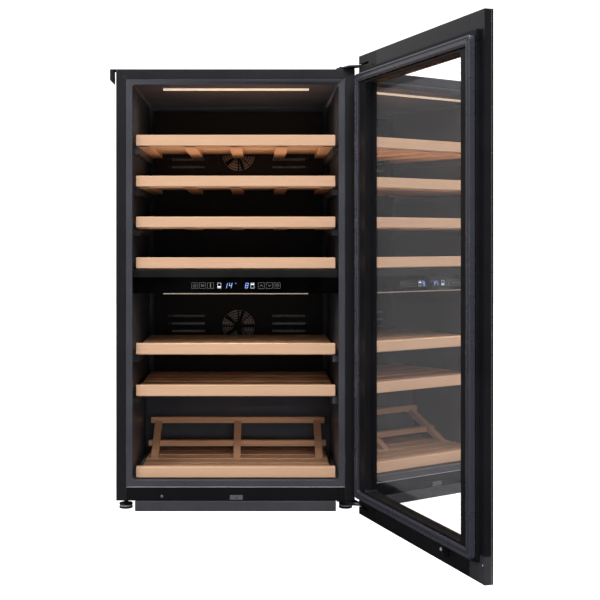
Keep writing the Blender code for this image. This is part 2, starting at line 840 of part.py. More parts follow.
# ---- cooling parts ---------------------------------------------------------------------------------
def duct_cover(name, bottom, top, fan_z, finish):
    """A tray over the evaporator, with a guarded fan opening and air slots."""
    cover = box(name, (-DUCT_HALF, DUCT_FRONT, bottom), (DUCT_HALF, CAVITY_BACK - GAP, top), finish)
    inside = (-DUCT_HALF + SKIN, DUCT_FRONT + SKIN, bottom + SKIN)
    cut(cover, box("inside", inside, (DUCT_HALF - SKIN, CAVITY_BACK + 0.01, top - SKIN)))
    cut(cover, prism("opening", circle(FAN_RADIUS + 0.002, SIDES, (0, fan_z)), "Y", 0.40, 0.43))
    guard = prism("hub", circle(0.013, 12, (0, fan_z)), "Y", DUCT_FRONT, DUCT_FRONT + SKIN)
    bars = ((-0.048, -0.0015, 0.048, 0.0015), (-0.0015, -0.048, 0.0015, 0.048))
    for x0, z0, x1, z1 in bars:
        low = (x0, DUCT_FRONT, fan_z + z0)
        joined(guard, box("bar", low, (x1, DUCT_FRONT + SKIN, fan_z + z1)))
    joined(cover, guard)
    slots = []
    for side in (-1, 1):
        for i in range(4):
            z = fan_z - 0.036 + 0.020 * i
            x = sorted((side * 0.090, side * 0.190))
            slots.append(((x[0], 0.40, z), (x[1], 0.43, z + 0.006)))
    return cut(cover, boxes("slots", slots))


def evaporator(name, bottom, top, finish):
    """A finned aluminium block behind the duct cover."""
    front, root, back = 0.4400, 0.4475, 0.4520
    fins = 9
    pitch = (top - bottom) / fins
    outline = [(back, bottom), (back, top)]
    for i in reversed(range(fins)):
        z = bottom + pitch * i
        outline += [(front, z + pitch), (front, z + 0.6 * pitch), (root, z + 0.6 * pitch)]
        outline.append((root, z) if i else (front, z))
    outline = outline[:-2] + [(front, bottom + 0.6 * pitch), (front, bottom)]
    return prism(name, outline, "X", -0.18, 0.18, finish)


def fan_rotor(name, axis, location, radius, depth, blades, finish):
    """A hub with twisted blades, turning about its own origin."""
    hub = turned(name, [(0.3 * radius, 0), (0.3 * radius, depth)], axis, 16, finish)
    for i in range(blades):
        turn = 2 * math.pi * i / blades
        blade = bmesh.new()
        loops = []
        for reach, lean in ((0.22 * radius, 0.30), (radius, 0.16)):
            loop = []
            for across, height in ((-lean, 0.12), (lean, 0.80), (lean, 0.90), (-lean, 0.22)):
                angle = turn + across * (0.22 * radius / reach) ** 0.4
                u, v = reach * math.cos(angle), reach * math.sin(angle)
                h = height * depth
                loop.append((u, h, v) if axis == "Y" else (h, u, v))
            loops.append(loop)
        loft(blade, loops)
        joined(hub, object_from("blade", blade))
    hub.location = location
    return hub


def compressor(finish):
    """A welded shell on its foot plate, with two pipe stubs."""
    shell = [(0.020, 0.0)]
    for i in range(9):
        angle = math.radians(-80 + 160 * i / 8)
        shell.append((0.0155 + 0.0500 * math.cos(angle), 0.0760 + 0.0700 * math.sin(angle)))
    body = turned("compressor", shell, "Z", 20, finish, location=(0.120, 0.458, PAN_TOP + GAP))
    settle(body)
    plate = box("plate", (0.045, 0.396, PAN_TOP + GAP), (0.195, 0.520, PAN_TOP + 0.004))
    joined(body, plate)
    for x in (0.100, 0.140):
        joined(body, prism("stub", circle(0.0035, 10, (x, 0.458)), "Z", 0.15, 0.186))
    return smooth(body, 50)


def condenser(finish):
    """A finned block beside the bay fan."""
    left, right, bottom, top, web = -0.205, -0.072, 0.034, 0.150, 0.003
    fins = 10
    pitch = (right - left - web) / fins
    outline = [(left, bottom), (right, bottom)]
    for i in range(fins):
        x = right - pitch * i
        outline += [(x, top), (x - web, top), (x - web, bottom + 0.012), (x - pitch, bottom + 0.012)]
    outline += [(left + web, top), (left, top)]
    return prism("condenser", outline, "Y", 0.400, 0.520, finish)


def bay_fan_frame(finish):
    """The plate that holds the bay fan, with a bridge for its hub."""
    low = (-0.0560, BAY_FAN_Y - 0.060, PAN_TOP + GAP)
    frame = box("bay_fan_frame", low, (-0.0530, BAY_FAN_Y + 0.060, 0.156), finish)
    ring = circle(0.050, SIDES, (BAY_FAN_Y, BAY_FAN_Z))
    cut(frame, prism("opening", ring, "X", -0.1, 0.1))
    bridge = ((-0.0559, BAY_FAN_Y - 0.055, BAY_FAN_Z - 0.004), (-0.0531, BAY_FAN_Y + 0.055, BAY_FAN_Z + 0.004))
    return joined(frame, box("bridge", *bridge))


def drip_tray(finish):
    """The open tray over the compressor where melt water dries off."""
    tray = box("drip_tray", (0.045, 0.395, 0.190), (0.195, 0.520, 0.210), finish)
    return cut(tray, box("hollow", (0.047, 0.397, 0.192), (0.193, 0.518, 0.22)))


def mains_inlet(finish):
    """The recessed appliance inlet in the rear sheet, with its three contacts."""
    inlet = box("mains_inlet", (-0.262, 0.515, 0.152), (-0.214, 0.5480, 0.181), finish)
    cut(inlet, box("socket", (-0.257, 0.524, 0.156), (-0.219, 0.56, 0.177)))
    contacts = []
    for x, z in ((-0.249, 0.168), (-0.238, 0.161), (-0.227, 0.168)):
        contacts.append(((x - 0.001, 0.522, z - 0.003), (x + 0.001, 0.540, z + 0.003)))
    return joined(inlet, boxes("contacts", contacts))


def make_cooling(finishes):
    plastic, metal = finishes["black_plastic"], finishes["aluminium"]
    duct_cover("duct_cover_upper", 0.5750, 0.9750, UPPER_FAN_Z, plastic)
    duct_cover("duct_cover_lower", 0.2600, 0.4950, LOWER_FAN_Z, plastic)
    evaporator("evaporator_upper", 0.5900, 0.9400, metal)
    evaporator("evaporator_lower", 0.2750, 0.4800, metal)
    rotor_y = DUCT_FRONT + SKIN + 0.0010
    fan_rotor("fan_upper", "Y", (0, rotor_y, UPPER_FAN_Z), FAN_RADIUS, 0.018, 5, plastic)
    fan_rotor("fan_lower", "Y", (0, rotor_y, LOWER_FAN_Z), FAN_RADIUS, 0.018, 5, plastic)
    compressor(finishes["compressor_black"])
    condenser(metal)
    bay_fan_frame(finishes["zinc_steel"])
    fan_rotor("bay_fan", "X", (-0.0520, BAY_FAN_Y, BAY_FAN_Z), 0.047, 0.020, 5, plastic)
    drip_tray(plastic)
    mains_inlet(plastic)


# ---- the whole appliance ---------------------------------------------------------------------------
def make_cabinet(finishes):
    steel = finishes["black_steel"]
    side_panel("side_panel_left", -1, steel)
    side_panel("side_panel_right", 1, steel)
    top_panel(steel)
    back_panel(finishes["zinc_steel"])
    bottom_front_panel(steel)
    fixing_plate(finishes["hinge_steel"])
    base_pan(finishes["zinc_steel"])
    for x, side in ((-FOOT_X, "left"), (FOOT_X, "right")):
        for y, end in zip(FOOT_Y, ("front", "rear")):
            levelling_foot(f"foot_{end}_{side}", x, y, finishes["rubber"])
    plinth(finishes["plinth_grey"])
    fixing_bracket(finishes["black_plastic"])
    inner_liner(finishes["liner_plastic"])
    insulation(finishes["foam"])
    for end in ("top", "bottom"):
        hinge_plate(end, finishes["hinge_steel"])


def make_divider(finishes):
    zone_divider(finishes["black_plastic"])
    control_panel(finishes["panel_glass"])
    control_board(finishes["circuit_green"])
    light_strips(finishes["light_white"])


def main():
    clear_scene()
    finishes = make_finishes()
    make_cabinet(finishes)
    make_divider(finishes)
    make_shelves(finishes)
    make_door(finishes)
    make_cooling(finishes)


main()
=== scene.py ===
"""Looks of the two-zone wine cooler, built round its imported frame.

Metres, +Z up, +X to the hinge side, +Y to the back. The door's pieces are worked out with the door shut
and then turned about the hinge axis with turn_with_door().
"""

import json
import math

import bmesh
import bpy
import numpy as np
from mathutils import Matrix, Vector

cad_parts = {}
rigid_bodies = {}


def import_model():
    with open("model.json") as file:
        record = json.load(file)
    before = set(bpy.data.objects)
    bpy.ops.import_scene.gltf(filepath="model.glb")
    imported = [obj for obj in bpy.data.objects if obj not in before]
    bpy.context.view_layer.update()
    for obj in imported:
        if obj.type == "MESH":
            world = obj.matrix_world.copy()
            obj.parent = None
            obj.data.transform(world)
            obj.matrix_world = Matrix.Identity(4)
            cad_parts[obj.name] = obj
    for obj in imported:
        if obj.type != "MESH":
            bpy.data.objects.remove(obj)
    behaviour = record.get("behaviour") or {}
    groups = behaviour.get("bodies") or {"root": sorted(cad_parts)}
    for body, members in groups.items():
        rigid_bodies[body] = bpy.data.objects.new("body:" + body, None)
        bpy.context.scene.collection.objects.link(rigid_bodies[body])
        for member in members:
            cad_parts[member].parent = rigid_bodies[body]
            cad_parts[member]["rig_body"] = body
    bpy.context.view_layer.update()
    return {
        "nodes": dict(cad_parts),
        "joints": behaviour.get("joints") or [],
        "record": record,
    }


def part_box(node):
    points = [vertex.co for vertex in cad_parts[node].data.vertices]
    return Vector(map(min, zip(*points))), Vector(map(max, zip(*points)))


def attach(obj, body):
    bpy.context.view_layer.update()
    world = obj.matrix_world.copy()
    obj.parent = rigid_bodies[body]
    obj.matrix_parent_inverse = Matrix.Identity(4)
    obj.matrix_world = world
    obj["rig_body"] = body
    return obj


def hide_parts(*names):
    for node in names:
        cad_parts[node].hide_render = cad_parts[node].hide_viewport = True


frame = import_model()
NODES = frame["nodes"]

# ---- sizes that the looks share with the solids ----------------------------------------------------
HINGE = next(joint for joint in frame["joints"] if joint["name"] == "door_hinge")
HINGE_X, HINGE_Y = HINGE["pos_m"][0], HINGE["pos_m"][1]
OPEN_TURN = math.radians(-HINGE["range_deg"][0])
SHELVES = range(1, 7)
DISPLAY_DECK_HIGH = 0.018

# Outlines on the shut door are (left, right, bottom, top), and levels are y measured from the hinge axis.
SEAL_OUTLINE = (-0.2764, 0.2764, 0.0442, 1.0078)
SEAL_WIDTH, SEAL_SEAT = 0.0195, 0.0190
FRAME_OUTLINE = (-0.2766, 0.2766, 0.0385, 1.0190)
FRAME_FRONT, PANE_SEAT = 0.0108, 0.0131
RIM_OUTLINE, RIM_LEVEL = (-0.2321, 0.2231, 0.0670, 0.9810), 0.0275
RECESS_OUTLINE = (-0.2448, 0.2358, 0.0573, 0.9997)
PRINT_OUTLINE = (-0.2934, 0.2990, 0.0020, 1.0527)
CLEAR_OUTLINE = (-0.2331, 0.2241, 0.0950, 0.9640)
PRINT_FRONT, PRINT_BACK = -0.00374, -0.00356

# ---- sizes of pieces that only the looks have ------------------------------------------------------
RUNNER_HALF, RUNNER_DROP = 0.015, 0.006
RAIL_DEEP = 0.020
SLAT_PITCH, SLAT_DEEP, SLAT_THICK = 0.0585, 0.043, 0.007
THREAD_CORE, THREAD_RIDGE, THREAD_PITCH, THREAD_BOTTOM = 0.0046, 0.0004, 0.0015, 0.0130
SPACER_HOLE_PITCH = 0.0048

# Screw heads: radius and height.
HINGE_PLATE_HEAD = (0.0042, 0.0022)
BRACKET_HEAD = (0.0040, 0.0020)
FREE_CAP_HEAD = (0.0021, 0.0016)
HINGE_CAP_HEAD = (0.0030, 0.0014)
CATCH_HEAD = (0.0036, 0.0018)

# Marks on the control panel: the height of their middle, their places across and their sizes.
PANEL_MIDDLE = 0.5241
KEY_AT = {"power": -0.0959, "menu": -0.0774, "bar": -0.0590, "up": 0.0600, "down": 0.0789, "clock": 0.0971}
KEY_HALF = (0.0072, 0.0068)
ZONE_SIGN_HALF = (0.0040, 0.0060)
OUTLINE_WIDTH = 0.00045
DIGIT_TALL = 0.0112

# ---- studio ----------------------------------------------------------------------------------------
FLOOR_HALF, FLOOR_DROP = 9.0, 0.0004
SEEN_WHITE = 1.35


# ---- surfaces --------------------------------------------------------------------------------------
def rounded_rectangle(half_u, half_v, radius, steps=4):
    """Points round a rectangle: each corner is a quarter circle, centre (half - radius), 0 to 90 degrees."""
    turn = np.linspace(0, np.pi / 2, steps + 1)
    quarter = np.column_stack((np.cos(turn), np.sin(turn))) * radius
    centres = np.array([(1, 1), (-1, 1), (-1, -1), (1, -1)]) * (half_u - radius, half_v - radius)
    corners = []
    for i, centre in enumerate(centres):
        c, s = math.cos(i * math.pi / 2), math.sin(i * math.pi / 2)
        corners.append(quarter @ np.array([(c, s), (-s, c)]) + centre)
    return np.concatenate(corners)


def loft(loops, closed=False):
    """Quads between loops of as many points, an array (loops, points, 3); its ends are capped or joined."""
    loops = np.asarray(loops, float)
    rows, count = loops.shape[:2]
    spans = rows if closed else rows - 1
    i, j = np.meshgrid(np.arange(spans), np.arange(count), indexing="ij")
    k, m = (j + 1) % count, (i + 1) % rows
    quads = np.stack((i * count + j, i * count + k, m * count + k, m * count + j), axis=-1)
    faces = quads.reshape(-1, 4).tolist()
    if not closed:
        faces.append(list(range(count))[::-1])
        faces.append(list(range((rows - 1) * count, rows * count)))
    return loops.reshape(-1, 3), faces


def soft_block(low, high, radius, along=0, edge=None, steps=3):
    """A block with rounded edges: its section across `along` is a rounded rectangle, which shrinks at
    both ends by edge * (1 - cos a) while it moves in by edge * (1 - sin a), a from 0 to 90 degrees."""
    edge = radius if edge is None else edge
    low, high = np.array(low, float), np.array(high, float)
    middle, half = (low + high) / 2, (high - low) / 2
    u, v = [axis for axis in range(3) if axis != along]
    turn = np.linspace(0, np.pi / 2, steps)
    inset = edge * (1 - np.sin(turn))
    depth = half[along] - edge * (1 - np.cos(turn))
    insets = np.concatenate((inset, inset[::-1]))
    levels = np.concatenate((-depth, depth[::-1]))
    loops = []
    for level, shrink in zip(levels, insets):
        ring = rounded_rectangle(half[u] - shrink, half[v] - shrink, max(radius - shrink, 1e-5), steps)
        loop = np.empty((len(ring), 3))
        loop[:, u], loop[:, v], loop[:, along] = ring[:, 0], ring[:, 1], level
        loops.append(loop + middle)
    return loft(loops)


def lathe(profile, centre, axis=2, sides=32):
    """(radius, height) points turned about an axis through centre: (r cos a, r sin a, h)."""
    profile = np.array(profile, float)
    turn = np.linspace(0, 2 * np.pi, sides, endpoint=False)
    u, v = [other for other in range(3) if other != axis]
    loops = np.empty((len(profile), sides, 3))
    loops[..., u] = profile[:, :1] * np.cos(turn)
    loops[..., v] = profile[:, :1] * np.sin(turn)
    loops[..., axis] = profile[:, 1:]
    return loft(loops + np.array(centre))


def torus(ring, wire, centre, axis=2, sides=48, around=10):
    """A wire ring: ((ring + wire cos b) cos a, (ring + wire cos b) sin a, wire sin b)."""
    a = np.linspace(0, 2 * np.pi, sides, endpoint=False)[:, None]
    b = np.linspace(0, 2 * np.pi, around, endpoint=False)[None, :]
    u, v = [other for other in range(3) if other != axis]
    loops = np.empty((sides, around, 3))
    loops[..., u] = (ring + wire * np.cos(b)) * np.cos(a)
    loops[..., v] = (ring + wire * np.cos(b)) * np.sin(a)
    loops[..., axis] = wire * np.sin(b) + 0 * a
    return loft(loops + np.array(centre), closed=True)


def prism(outline, along, start, end):
    """A flat outline, in the two axes other than `along`, drawn from start to end."""
    outline = np.array(outline, float)
    u, v = [axis for axis in range(3) if axis != along]
    loops = np.empty((2, len(outline), 3))
    loops[..., u], loops[..., v] = outline[:, 0], outline[:, 1]
    loops[0, :, along], loops[1, :, along] = start, end
    return loft(loops)


def screw_head(centre, outward, radius, height):
    """A domed head with a six-lobed recess: the recess wall stands at 0.45 R (1 + 0.16 cos 6a)."""
    turn = np.linspace(0, 2 * np.pi, 48, endpoint=False)
    lobes = 0.45 * radius * (1 + 0.16 * np.cos(6 * turn))
    flat = np.ones_like(turn)
    rings = [
        (radius * flat, 0.0),
        (radius * flat, 0.35 * height),
        (0.90 * radius * flat, 0.72 * height),
        (0.70 * radius * flat, 0.95 * height),
        (1.08 * lobes, height),
        (lobes, 0.94 * height),
        (0.90 * lobes, 0.25 * height),
    ]
    outward = np.array(outward, float) / np.linalg.norm(outward)
    side = np.cross(outward, (0, 0, 1) if abs(outward[2]) < 0.9 else (1, 0, 0))
    side /= np.linalg.norm(side)
    other = np.cross(outward, side)
    loops = []
    for reach, level in rings:
        loops.append(
            np.array(centre)
            + reach[:, None] * (np.cos(turn)[:, None] * side + np.sin(turn)[:, None] * other)
            + level * outward
        )
    return loft(loops)


def together(*parts):
    """Several surfaces as one, with the later ones' face indices moved up."""
    points, faces, start = [], [], 0
    for some_points, some_faces in parts:
        points.append(some_points)
        faces.extend([[index + start for index in face] for face in some_faces])
        start += len(some_points)
    return np.concatenate(points), faces


def turn_with_door(surface):
    """The shut door's points turned by its opening angle about the hinge axis: R (p - axis) + axis."""
    points, faces = surface
    c, s = math.cos(OPEN_TURN), math.sin(OPEN_TURN)
    x, y = points[:, 0] - HINGE_X, points[:, 1] - HINGE_Y
    turned = np.column_stack((HINGE_X + c * x - s * y, HINGE_Y + s * x + c * y, points[:, 2]))
    return turned, faces


# ---- pieces ----------------------------------------------------------------------------------------
SHARP_DEGREES = 38


def finish_mesh(mesh, sharp_degrees):
    """Turns the faces outward and shades them smooth, with sharp edges where they turn by more."""
    shape = bmesh.new()
    shape.from_mesh(mesh)
    bmesh.ops.recalc_face_normals(shape, faces=shape.faces)
    shape.to_mesh(mesh)
    shape.free()
    mesh.shade_smooth()
    mesh.set_sharp_from_angle(angle=math.radians(sharp_degrees))


def settle_normals(piece):
    """Weighs the corner normals by face area, so that flat faces stay flat beside their rounded edges."""
    weigh = piece.modifiers.new("weighted normals", "WEIGHTED_NORMAL")
    weigh.keep_sharp = True
    bpy.context.view_layer.update()
    graph = bpy.context.evaluated_depsgraph_get()
    rough = piece.data
    settled = bpy.data.meshes.new_from_object(piece.evaluated_get(graph))
    piece.modifiers.clear()
    piece.data = settled
    bpy.data.meshes.remove(rough)
    settled.name = piece.name


def dress(piece, material, body, replaces=()):
    """Gives a piece its settled normals, its one material, its body and the solids it stands for."""
    settle_normals(piece)
    piece.data.materials.clear()
    piece.data.materials.append(material)
    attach(piece, body)
    if replaces:
        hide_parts(*replaces)


def add_piece(name, surface, material, body, replaces=(), sharp_degrees=SHARP_DEGREES):
    """A surface as a named piece that rides on a body."""
    points, faces = surface
    mesh = bpy.data.meshes.new(name)
    mesh.from_pydata(points.tolist(), [], faces)
    finish_mesh(mesh, sharp_degrees)
    piece = bpy.data.objects.new(name, mesh)
    bpy.context.scene.collection.objects.link(piece)
    dress(piece, material, body, replaces)


def soften(node, material, width):
    """A solid's own shape in its place, with its edges rounded to `width`; 0 leaves them as they are."""
    shape = bmesh.new()
    shape.from_mesh(NODES[node].data)
    bmesh.ops.remove_doubles(shape, verts=shape.verts, dist=2e-5)
    bmesh.ops.dissolve_limit(
        shape, angle_limit=math.radians(1.0), verts=shape.verts, edges=shape.edges
    )
    bmesh.ops.recalc_face_normals(shape, faces=shape.faces)
    mesh = bpy.data.meshes.new(node + "_shell")
    shape.to_mesh(mesh)
    shape.free()
    piece = bpy.data.objects.new(node + "_shell", mesh)
    bpy.context.scene.collection.objects.link(piece)
    if width:
        bevel = piece.modifiers.new("soft edges", "BEVEL")
        bevel.width = width
        bevel.segments = 2
        bevel.limit_method = "ANGLE"
        bevel.angle_limit = math.radians(30)
        bevel.use_clamp_overlap = True
        bpy.context.view_layer.update()
        graph = bpy.context.evaluated_depsgraph_get()
        piece.data = bpy.data.meshes.new_from_object(piece.evaluated_get(graph))
        piece.modifiers.clear()
    piece.data.shade_smooth()
    piece.data.set_sharp_from_angle(angle=math.radians(SHARP_DEGREES))
    dress(piece, material, NODES[node]["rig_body"], [node])


# ---- materials -------------------------------------------------------------------------------------
def linear(*levels):
    """8-bit display levels as a linear colour."""
    values = np.array(levels) / 255
    low, high = values / 12.92, ((values + 0.055) / 1.055) ** 2.4
    return (*np.where(values <= 0.04045, low, high).tolist(), 1.0)


def add_node(tree, kind, settings=None, **inputs):
    """A node with its settings; an input given a socket is linked, and any other is set."""
    made = tree.nodes.new(kind)
    for key, value in (settings or {}).items():
        setattr(made, key, value)
    for key, value in inputs.items():
        socket = made.inputs[int(key[1:])] if key[0] == "i" and key[1:].isdigit() else made.inputs[key]
        if isinstance(value, bpy.types.NodeSocket):
            tree.links.new(value, socket)
        else:
            socket.default_value = value
    return made


def math_node(tree, operation, a, b=0.0, clamp=False):
    """One arithmetic step on two values."""
    settings = {"operation": operation, "use_clamp": clamp}
    return add_node(tree, "ShaderNodeMath", settings, i0=a, i1=b).outputs[0]


def spread(tree, value, low, high, to_low=0.0, to_high=1.0):
    """A value from low..high as to_low..to_high, held at the ends."""
    made = add_node(tree, "ShaderNodeMapRange", None, i0=value, i1=low, i2=high, i3=to_low, i4=to_high)
    return made.outputs[0]


def noise(tree, position, size, detail=3.0, roughness=0.5, stretch=(1, 1, 1)):
    """Noise with features of about `size` metres, longer along an axis whose stretch is above 1."""
    mapped = add_node(tree, "ShaderNodeVectorMath", {"operation": "MULTIPLY"}, i0=position)
    mapped.inputs[1].default_value = [1 / (size * s) for s in stretch]
    made = add_node(
        tree, "ShaderNodeTexNoise", None, Vector=mapped.outputs[0], Scale=1.0, Detail=detail,
        Roughness=roughness,
    )
    return made.outputs[0]


def new_group(name, inputs, outputs):
    """A shader node group with named sockets; returns its tree, its inputs and its output node."""
    tree = bpy.data.node_groups.new(name, "ShaderNodeTree")
    for label, kind, default in inputs:
        socket = tree.interface.new_socket(label, in_out="INPUT", socket_type="NodeSocket" + kind)
        if default is not None:
            socket.default_value = default
    for label, kind in outputs:
        tree.interface.new_socket(label, in_out="OUTPUT", socket_type="NodeSocket" + kind)
    given = tree.nodes.new("NodeGroupInput").outputs
    result = tree.nodes.new("NodeGroupOutput").inputs
    return tree, given, result


def mix_colour(tree, share, first, second):
    """From the first colour to the second as the share goes from 0 to 1."""
    return add_node(tree, "ShaderNodeMix", {"data_type": "RGBA"}, i0=share, i6=first, i7=second).outputs[2]


def mix_value(tree, share, first, second):
    """From the first value to the second as the share goes from 0 to 1."""
    return add_node(tree, "ShaderNodeMix", {"data_type": "FLOAT"}, i0=share, i2=first, i3=second).outputs[0]


def beech_group():
    """Beech cut along X: long growth bands, short dark ray flecks and fine pores."""
    tree, given, result = new_group(
        "beech grain",
        [("Position", "Vector", None), ("Light wood", "Color", (0.8, 0.6, 0.4, 1)),
         ("Dark wood", "Color", (0.5, 0.3, 0.2, 1)), ("Figure", "Float", 0.5)],
        [("Colour", "Color"), ("Roughness", "Float"), ("Height", "Float")],
    )
    position = given["Position"]
    board = noise(tree, position, 0.30, 2, 0.5, (1.6, 0.25, 0.25))
    bands = noise(tree, position, 0.0045, 4, 0.6, (46, 1.6, 1))
    fibres = noise(tree, position, 0.0012, 2, 0.6, (30, 1, 1))
    flecks = noise(tree, position, 0.0011, 1, 0.5, (4.2, 1, 0.8))
    fleck = spread(tree, flecks, 0.66, 0.74)
    figure = math_node(tree, "MULTIPLY", spread(tree, bands, 0.32, 0.70), given["Figure"])
    figure = math_node(tree, "ADD", figure, spread(tree, board, 0.3, 0.7, -0.06, 0.10))
    figure = math_node(tree, "ADD", figure, spread(tree, fibres, 0.3, 0.7, -0.08, 0.10), True)
    base = mix_colour(tree, figure, given["Light wood"], given["Dark wood"])
    darker = math_node(tree, "MULTIPLY", fleck, 0.35)
    tree.links.new(mix_colour(tree, darker, base, given["Dark wood"]), result["Colour"])
    rough = math_node(tree, "ADD", spread(tree, fibres, 0.3, 0.7, 0.0, 0.14), 0.46)
    tree.links.new(rough, result["Roughness"])
    height = math_node(tree, "SUBTRACT", fibres, math_node(tree, "MULTIPLY", fleck, 0.8))
    tree.links.new(height, result["Height"])
    return tree


def skin_group():
    """A moulded or painted skin: fine grain of a set size, with a slow drift of its gloss."""
    tree, given, result = new_group(
        "fine skin",
        [("Position", "Vector", None), ("Grain", "Float", 1.0), ("Gloss", "Float", 0.4),
         ("Drift", "Float", 0.08)],
        [("Roughness", "Float"), ("Height", "Float"), ("Mask", "Float")],
    )
    scaled = add_node(tree, "ShaderNodeVectorMath", {"operation": "SCALE"}, i0=given["Position"])
    tree.links.new(given["Grain"], scaled.inputs[3])
    grain = noise(tree, scaled.outputs[0], 0.0011, 2, 0.55)
    drift = noise(tree, given["Position"], 0.11, 3, 0.6)
    smear = noise(tree, given["Position"], 0.018, 3, 0.6, (2.5, 1, 1))
    wide, narrow = spread(tree, drift, 0.3, 0.7, -1, 1), spread(tree, smear, 0.3, 0.7, -0.5, 0.5)
    change = math_node(tree, "MULTIPLY", math_node(tree, "ADD", wide, narrow), given["Drift"])
    tree.links.new(math_node(tree, "ADD", given["Gloss"], change, True), result["Roughness"])
    tree.links.new(grain, result["Height"])
    tree.links.new(spread(tree, drift, 0.35, 0.65), result["Mask"])
    return tree


def brushed_group():
    """Metal brushed or rolled along X: long hair lines in its gloss and its height."""
    tree, given, result = new_group(
        "brushed metal",
        [("Position", "Vector", None), ("Gloss", "Float", 0.35), ("Depth", "Float", 0.15)],
        [("Roughness", "Float"), ("Height", "Float"), ("Mask", "Float")],
    )
    lines = noise(tree, given["Position"], 0.0009, 3, 0.6, (60, 1, 1))
    cloud = noise(tree, given["Position"], 0.03, 3, 0.6)
    change = math_node(tree, "MULTIPLY", spread(tree, lines, 0.3, 0.7, -1, 1), given["Depth"])
    tree.links.new(math_node(tree, "ADD", given["Gloss"], change, True), result["Roughness"])
    tree.links.new(lines, result["Height"])
    tree.links.new(spread(tree, cloud, 0.3, 0.7), result["Mask"])
    return tree


GROUPS = {"beech": beech_group(), "skin": skin_group(), "brushed": brushed_group()}


def new_material(name, **values):
    """A material whose Principled shader has these values on its own sockets."""
    made = bpy.data.materials.new(name)
    made.use_nodes = True
    tree = made.node_tree
    shader = tree.nodes["Principled BSDF"]
    for key, value in values.items():
        shader.inputs[key.replace("_", " ")].default_value = value
    position = tree.nodes.new("ShaderNodeTexCoord").outputs["Object"]
    return made, tree, shader, position


def place_group(tree, kind, **inputs):
    """A shared group in a material, with its own values."""
    made = tree.nodes.new("ShaderNodeGroup")
    made.node_tree = GROUPS[kind]
    for key, value in inputs.items():
        socket = made.inputs[key.replace("_", " ")]
        if isinstance(value, bpy.types.NodeSocket):
            tree.links.new(value, socket)
        else:
            socket.default_value = value
    return made


def add_bump(tree, shader, height, distance, strength=1.0):
    """Relief on the shader's normal, `distance` metres deep for a height of 1."""
    bump = add_node(tree, "ShaderNodeBump", None, Strength=strength, Distance=distance, Height=height)
    tree.links.new(bump.outputs[0], shader.inputs["Normal"])


def wood(name, light, dark, figure):
    """Oiled beech between two display colours; figure is how strongly its bands show."""
    made, tree, shader, position = new_material(name, Specular_IOR_Level=0.4)
    grain = place_group(
        tree, "beech", Position=position, Light_wood=linear(*light), Dark_wood=linear(*dark), Figure=figure
    )
    tree.links.new(grain.outputs["Colour"], shader.inputs["Base Color"])
    tree.links.new(grain.outputs["Roughness"], shader.inputs["Roughness"])
    add_bump(tree, shader, grain.outputs["Height"], 0.00012)
    return made


def skinned(name, colour, gloss, drift=0.06, grain=1.0, depth=0.00004, tint=0.10, **values):
    """A coloured skin of plastic, rubber, enamel or paint with its fine grain."""
    made, tree, shader, position = new_material(name, **values)
    skin = place_group(tree, "skin", Position=position, Gloss=gloss, Drift=drift, Grain=grain)
    base = linear(*colour)
    other = tuple(min(1.0, channel * (1 + 2 * tint) + 0.02 * tint) for channel in base[:3]) + (1.0,)
    colour_mix = mix_colour(tree, skin.outputs["Mask"], base, other)
    tree.links.new(colour_mix, shader.inputs["Base Color"])
    tree.links.new(skin.outputs["Roughness"], shader.inputs["Roughness"])
    add_bump(tree, shader, skin.outputs["Height"], depth)
    return made


def metal(name, colour, gloss, depth=0.12, **values):
    """Bare metal with hair lines along X; depth is how far they change its roughness."""
    made, tree, shader, position = new_material(name, Metallic=1.0, **values)
    brushed = place_group(tree, "brushed", Position=position, Gloss=gloss, Depth=depth)
    base = linear(*colour)
    darker = tuple(channel * 0.82 for channel in base[:3]) + (1.0,)
    tree.links.new(mix_colour(tree, brushed.outputs["Mask"], base, darker), shader.inputs["Base Color"])
    tree.links.new(brushed.outputs["Roughness"], shader.inputs["Roughness"])
    add_bump(tree, shader, brushed.outputs["Height"], 0.00001)
    return made


def glass(name, colour, mirror):
    """Polished tinted glass; mirror is the share that its thin metal coating throws back."""
    made, tree, shader, position = new_material(
        name, Transmission_Weight=1.0, IOR=1.5, Metallic=mirror, Roughness=0.0
    )
    cast = spread(tree, noise(tree, position, 0.25, 1), 0.3, 0.7)
    deeper = tuple(0.985 * channel for channel in linear(*colour)[:3]) + (1.0,)
    tree.links.new(mix_colour(tree, cast, linear(*colour), deeper), shader.inputs["Base Color"])
    return made


def glowing(name, colour, strength):
    """A lit face, a little uneven along its length as the diodes behind it are."""
    made, tree, shader, position = new_material(
        name, Base_Color=linear(*colour), Emission_Strength=strength, Roughness=0.4
    )
    wave = add_node(
        tree, "ShaderNodeTexWave", {"bands_direction": "X"}, Vector=position, Scale=9.5, Distortion=0.4
    )
    dimmer = tuple(channel * 0.86 for channel in linear(*colour)[:3]) + (1.0,)
    lit = mix_colour(tree, wave.outputs["Fac"], dimmer, linear(*colour))
    tree.links.new(lit, shader.inputs["Emission Color"])
    return made


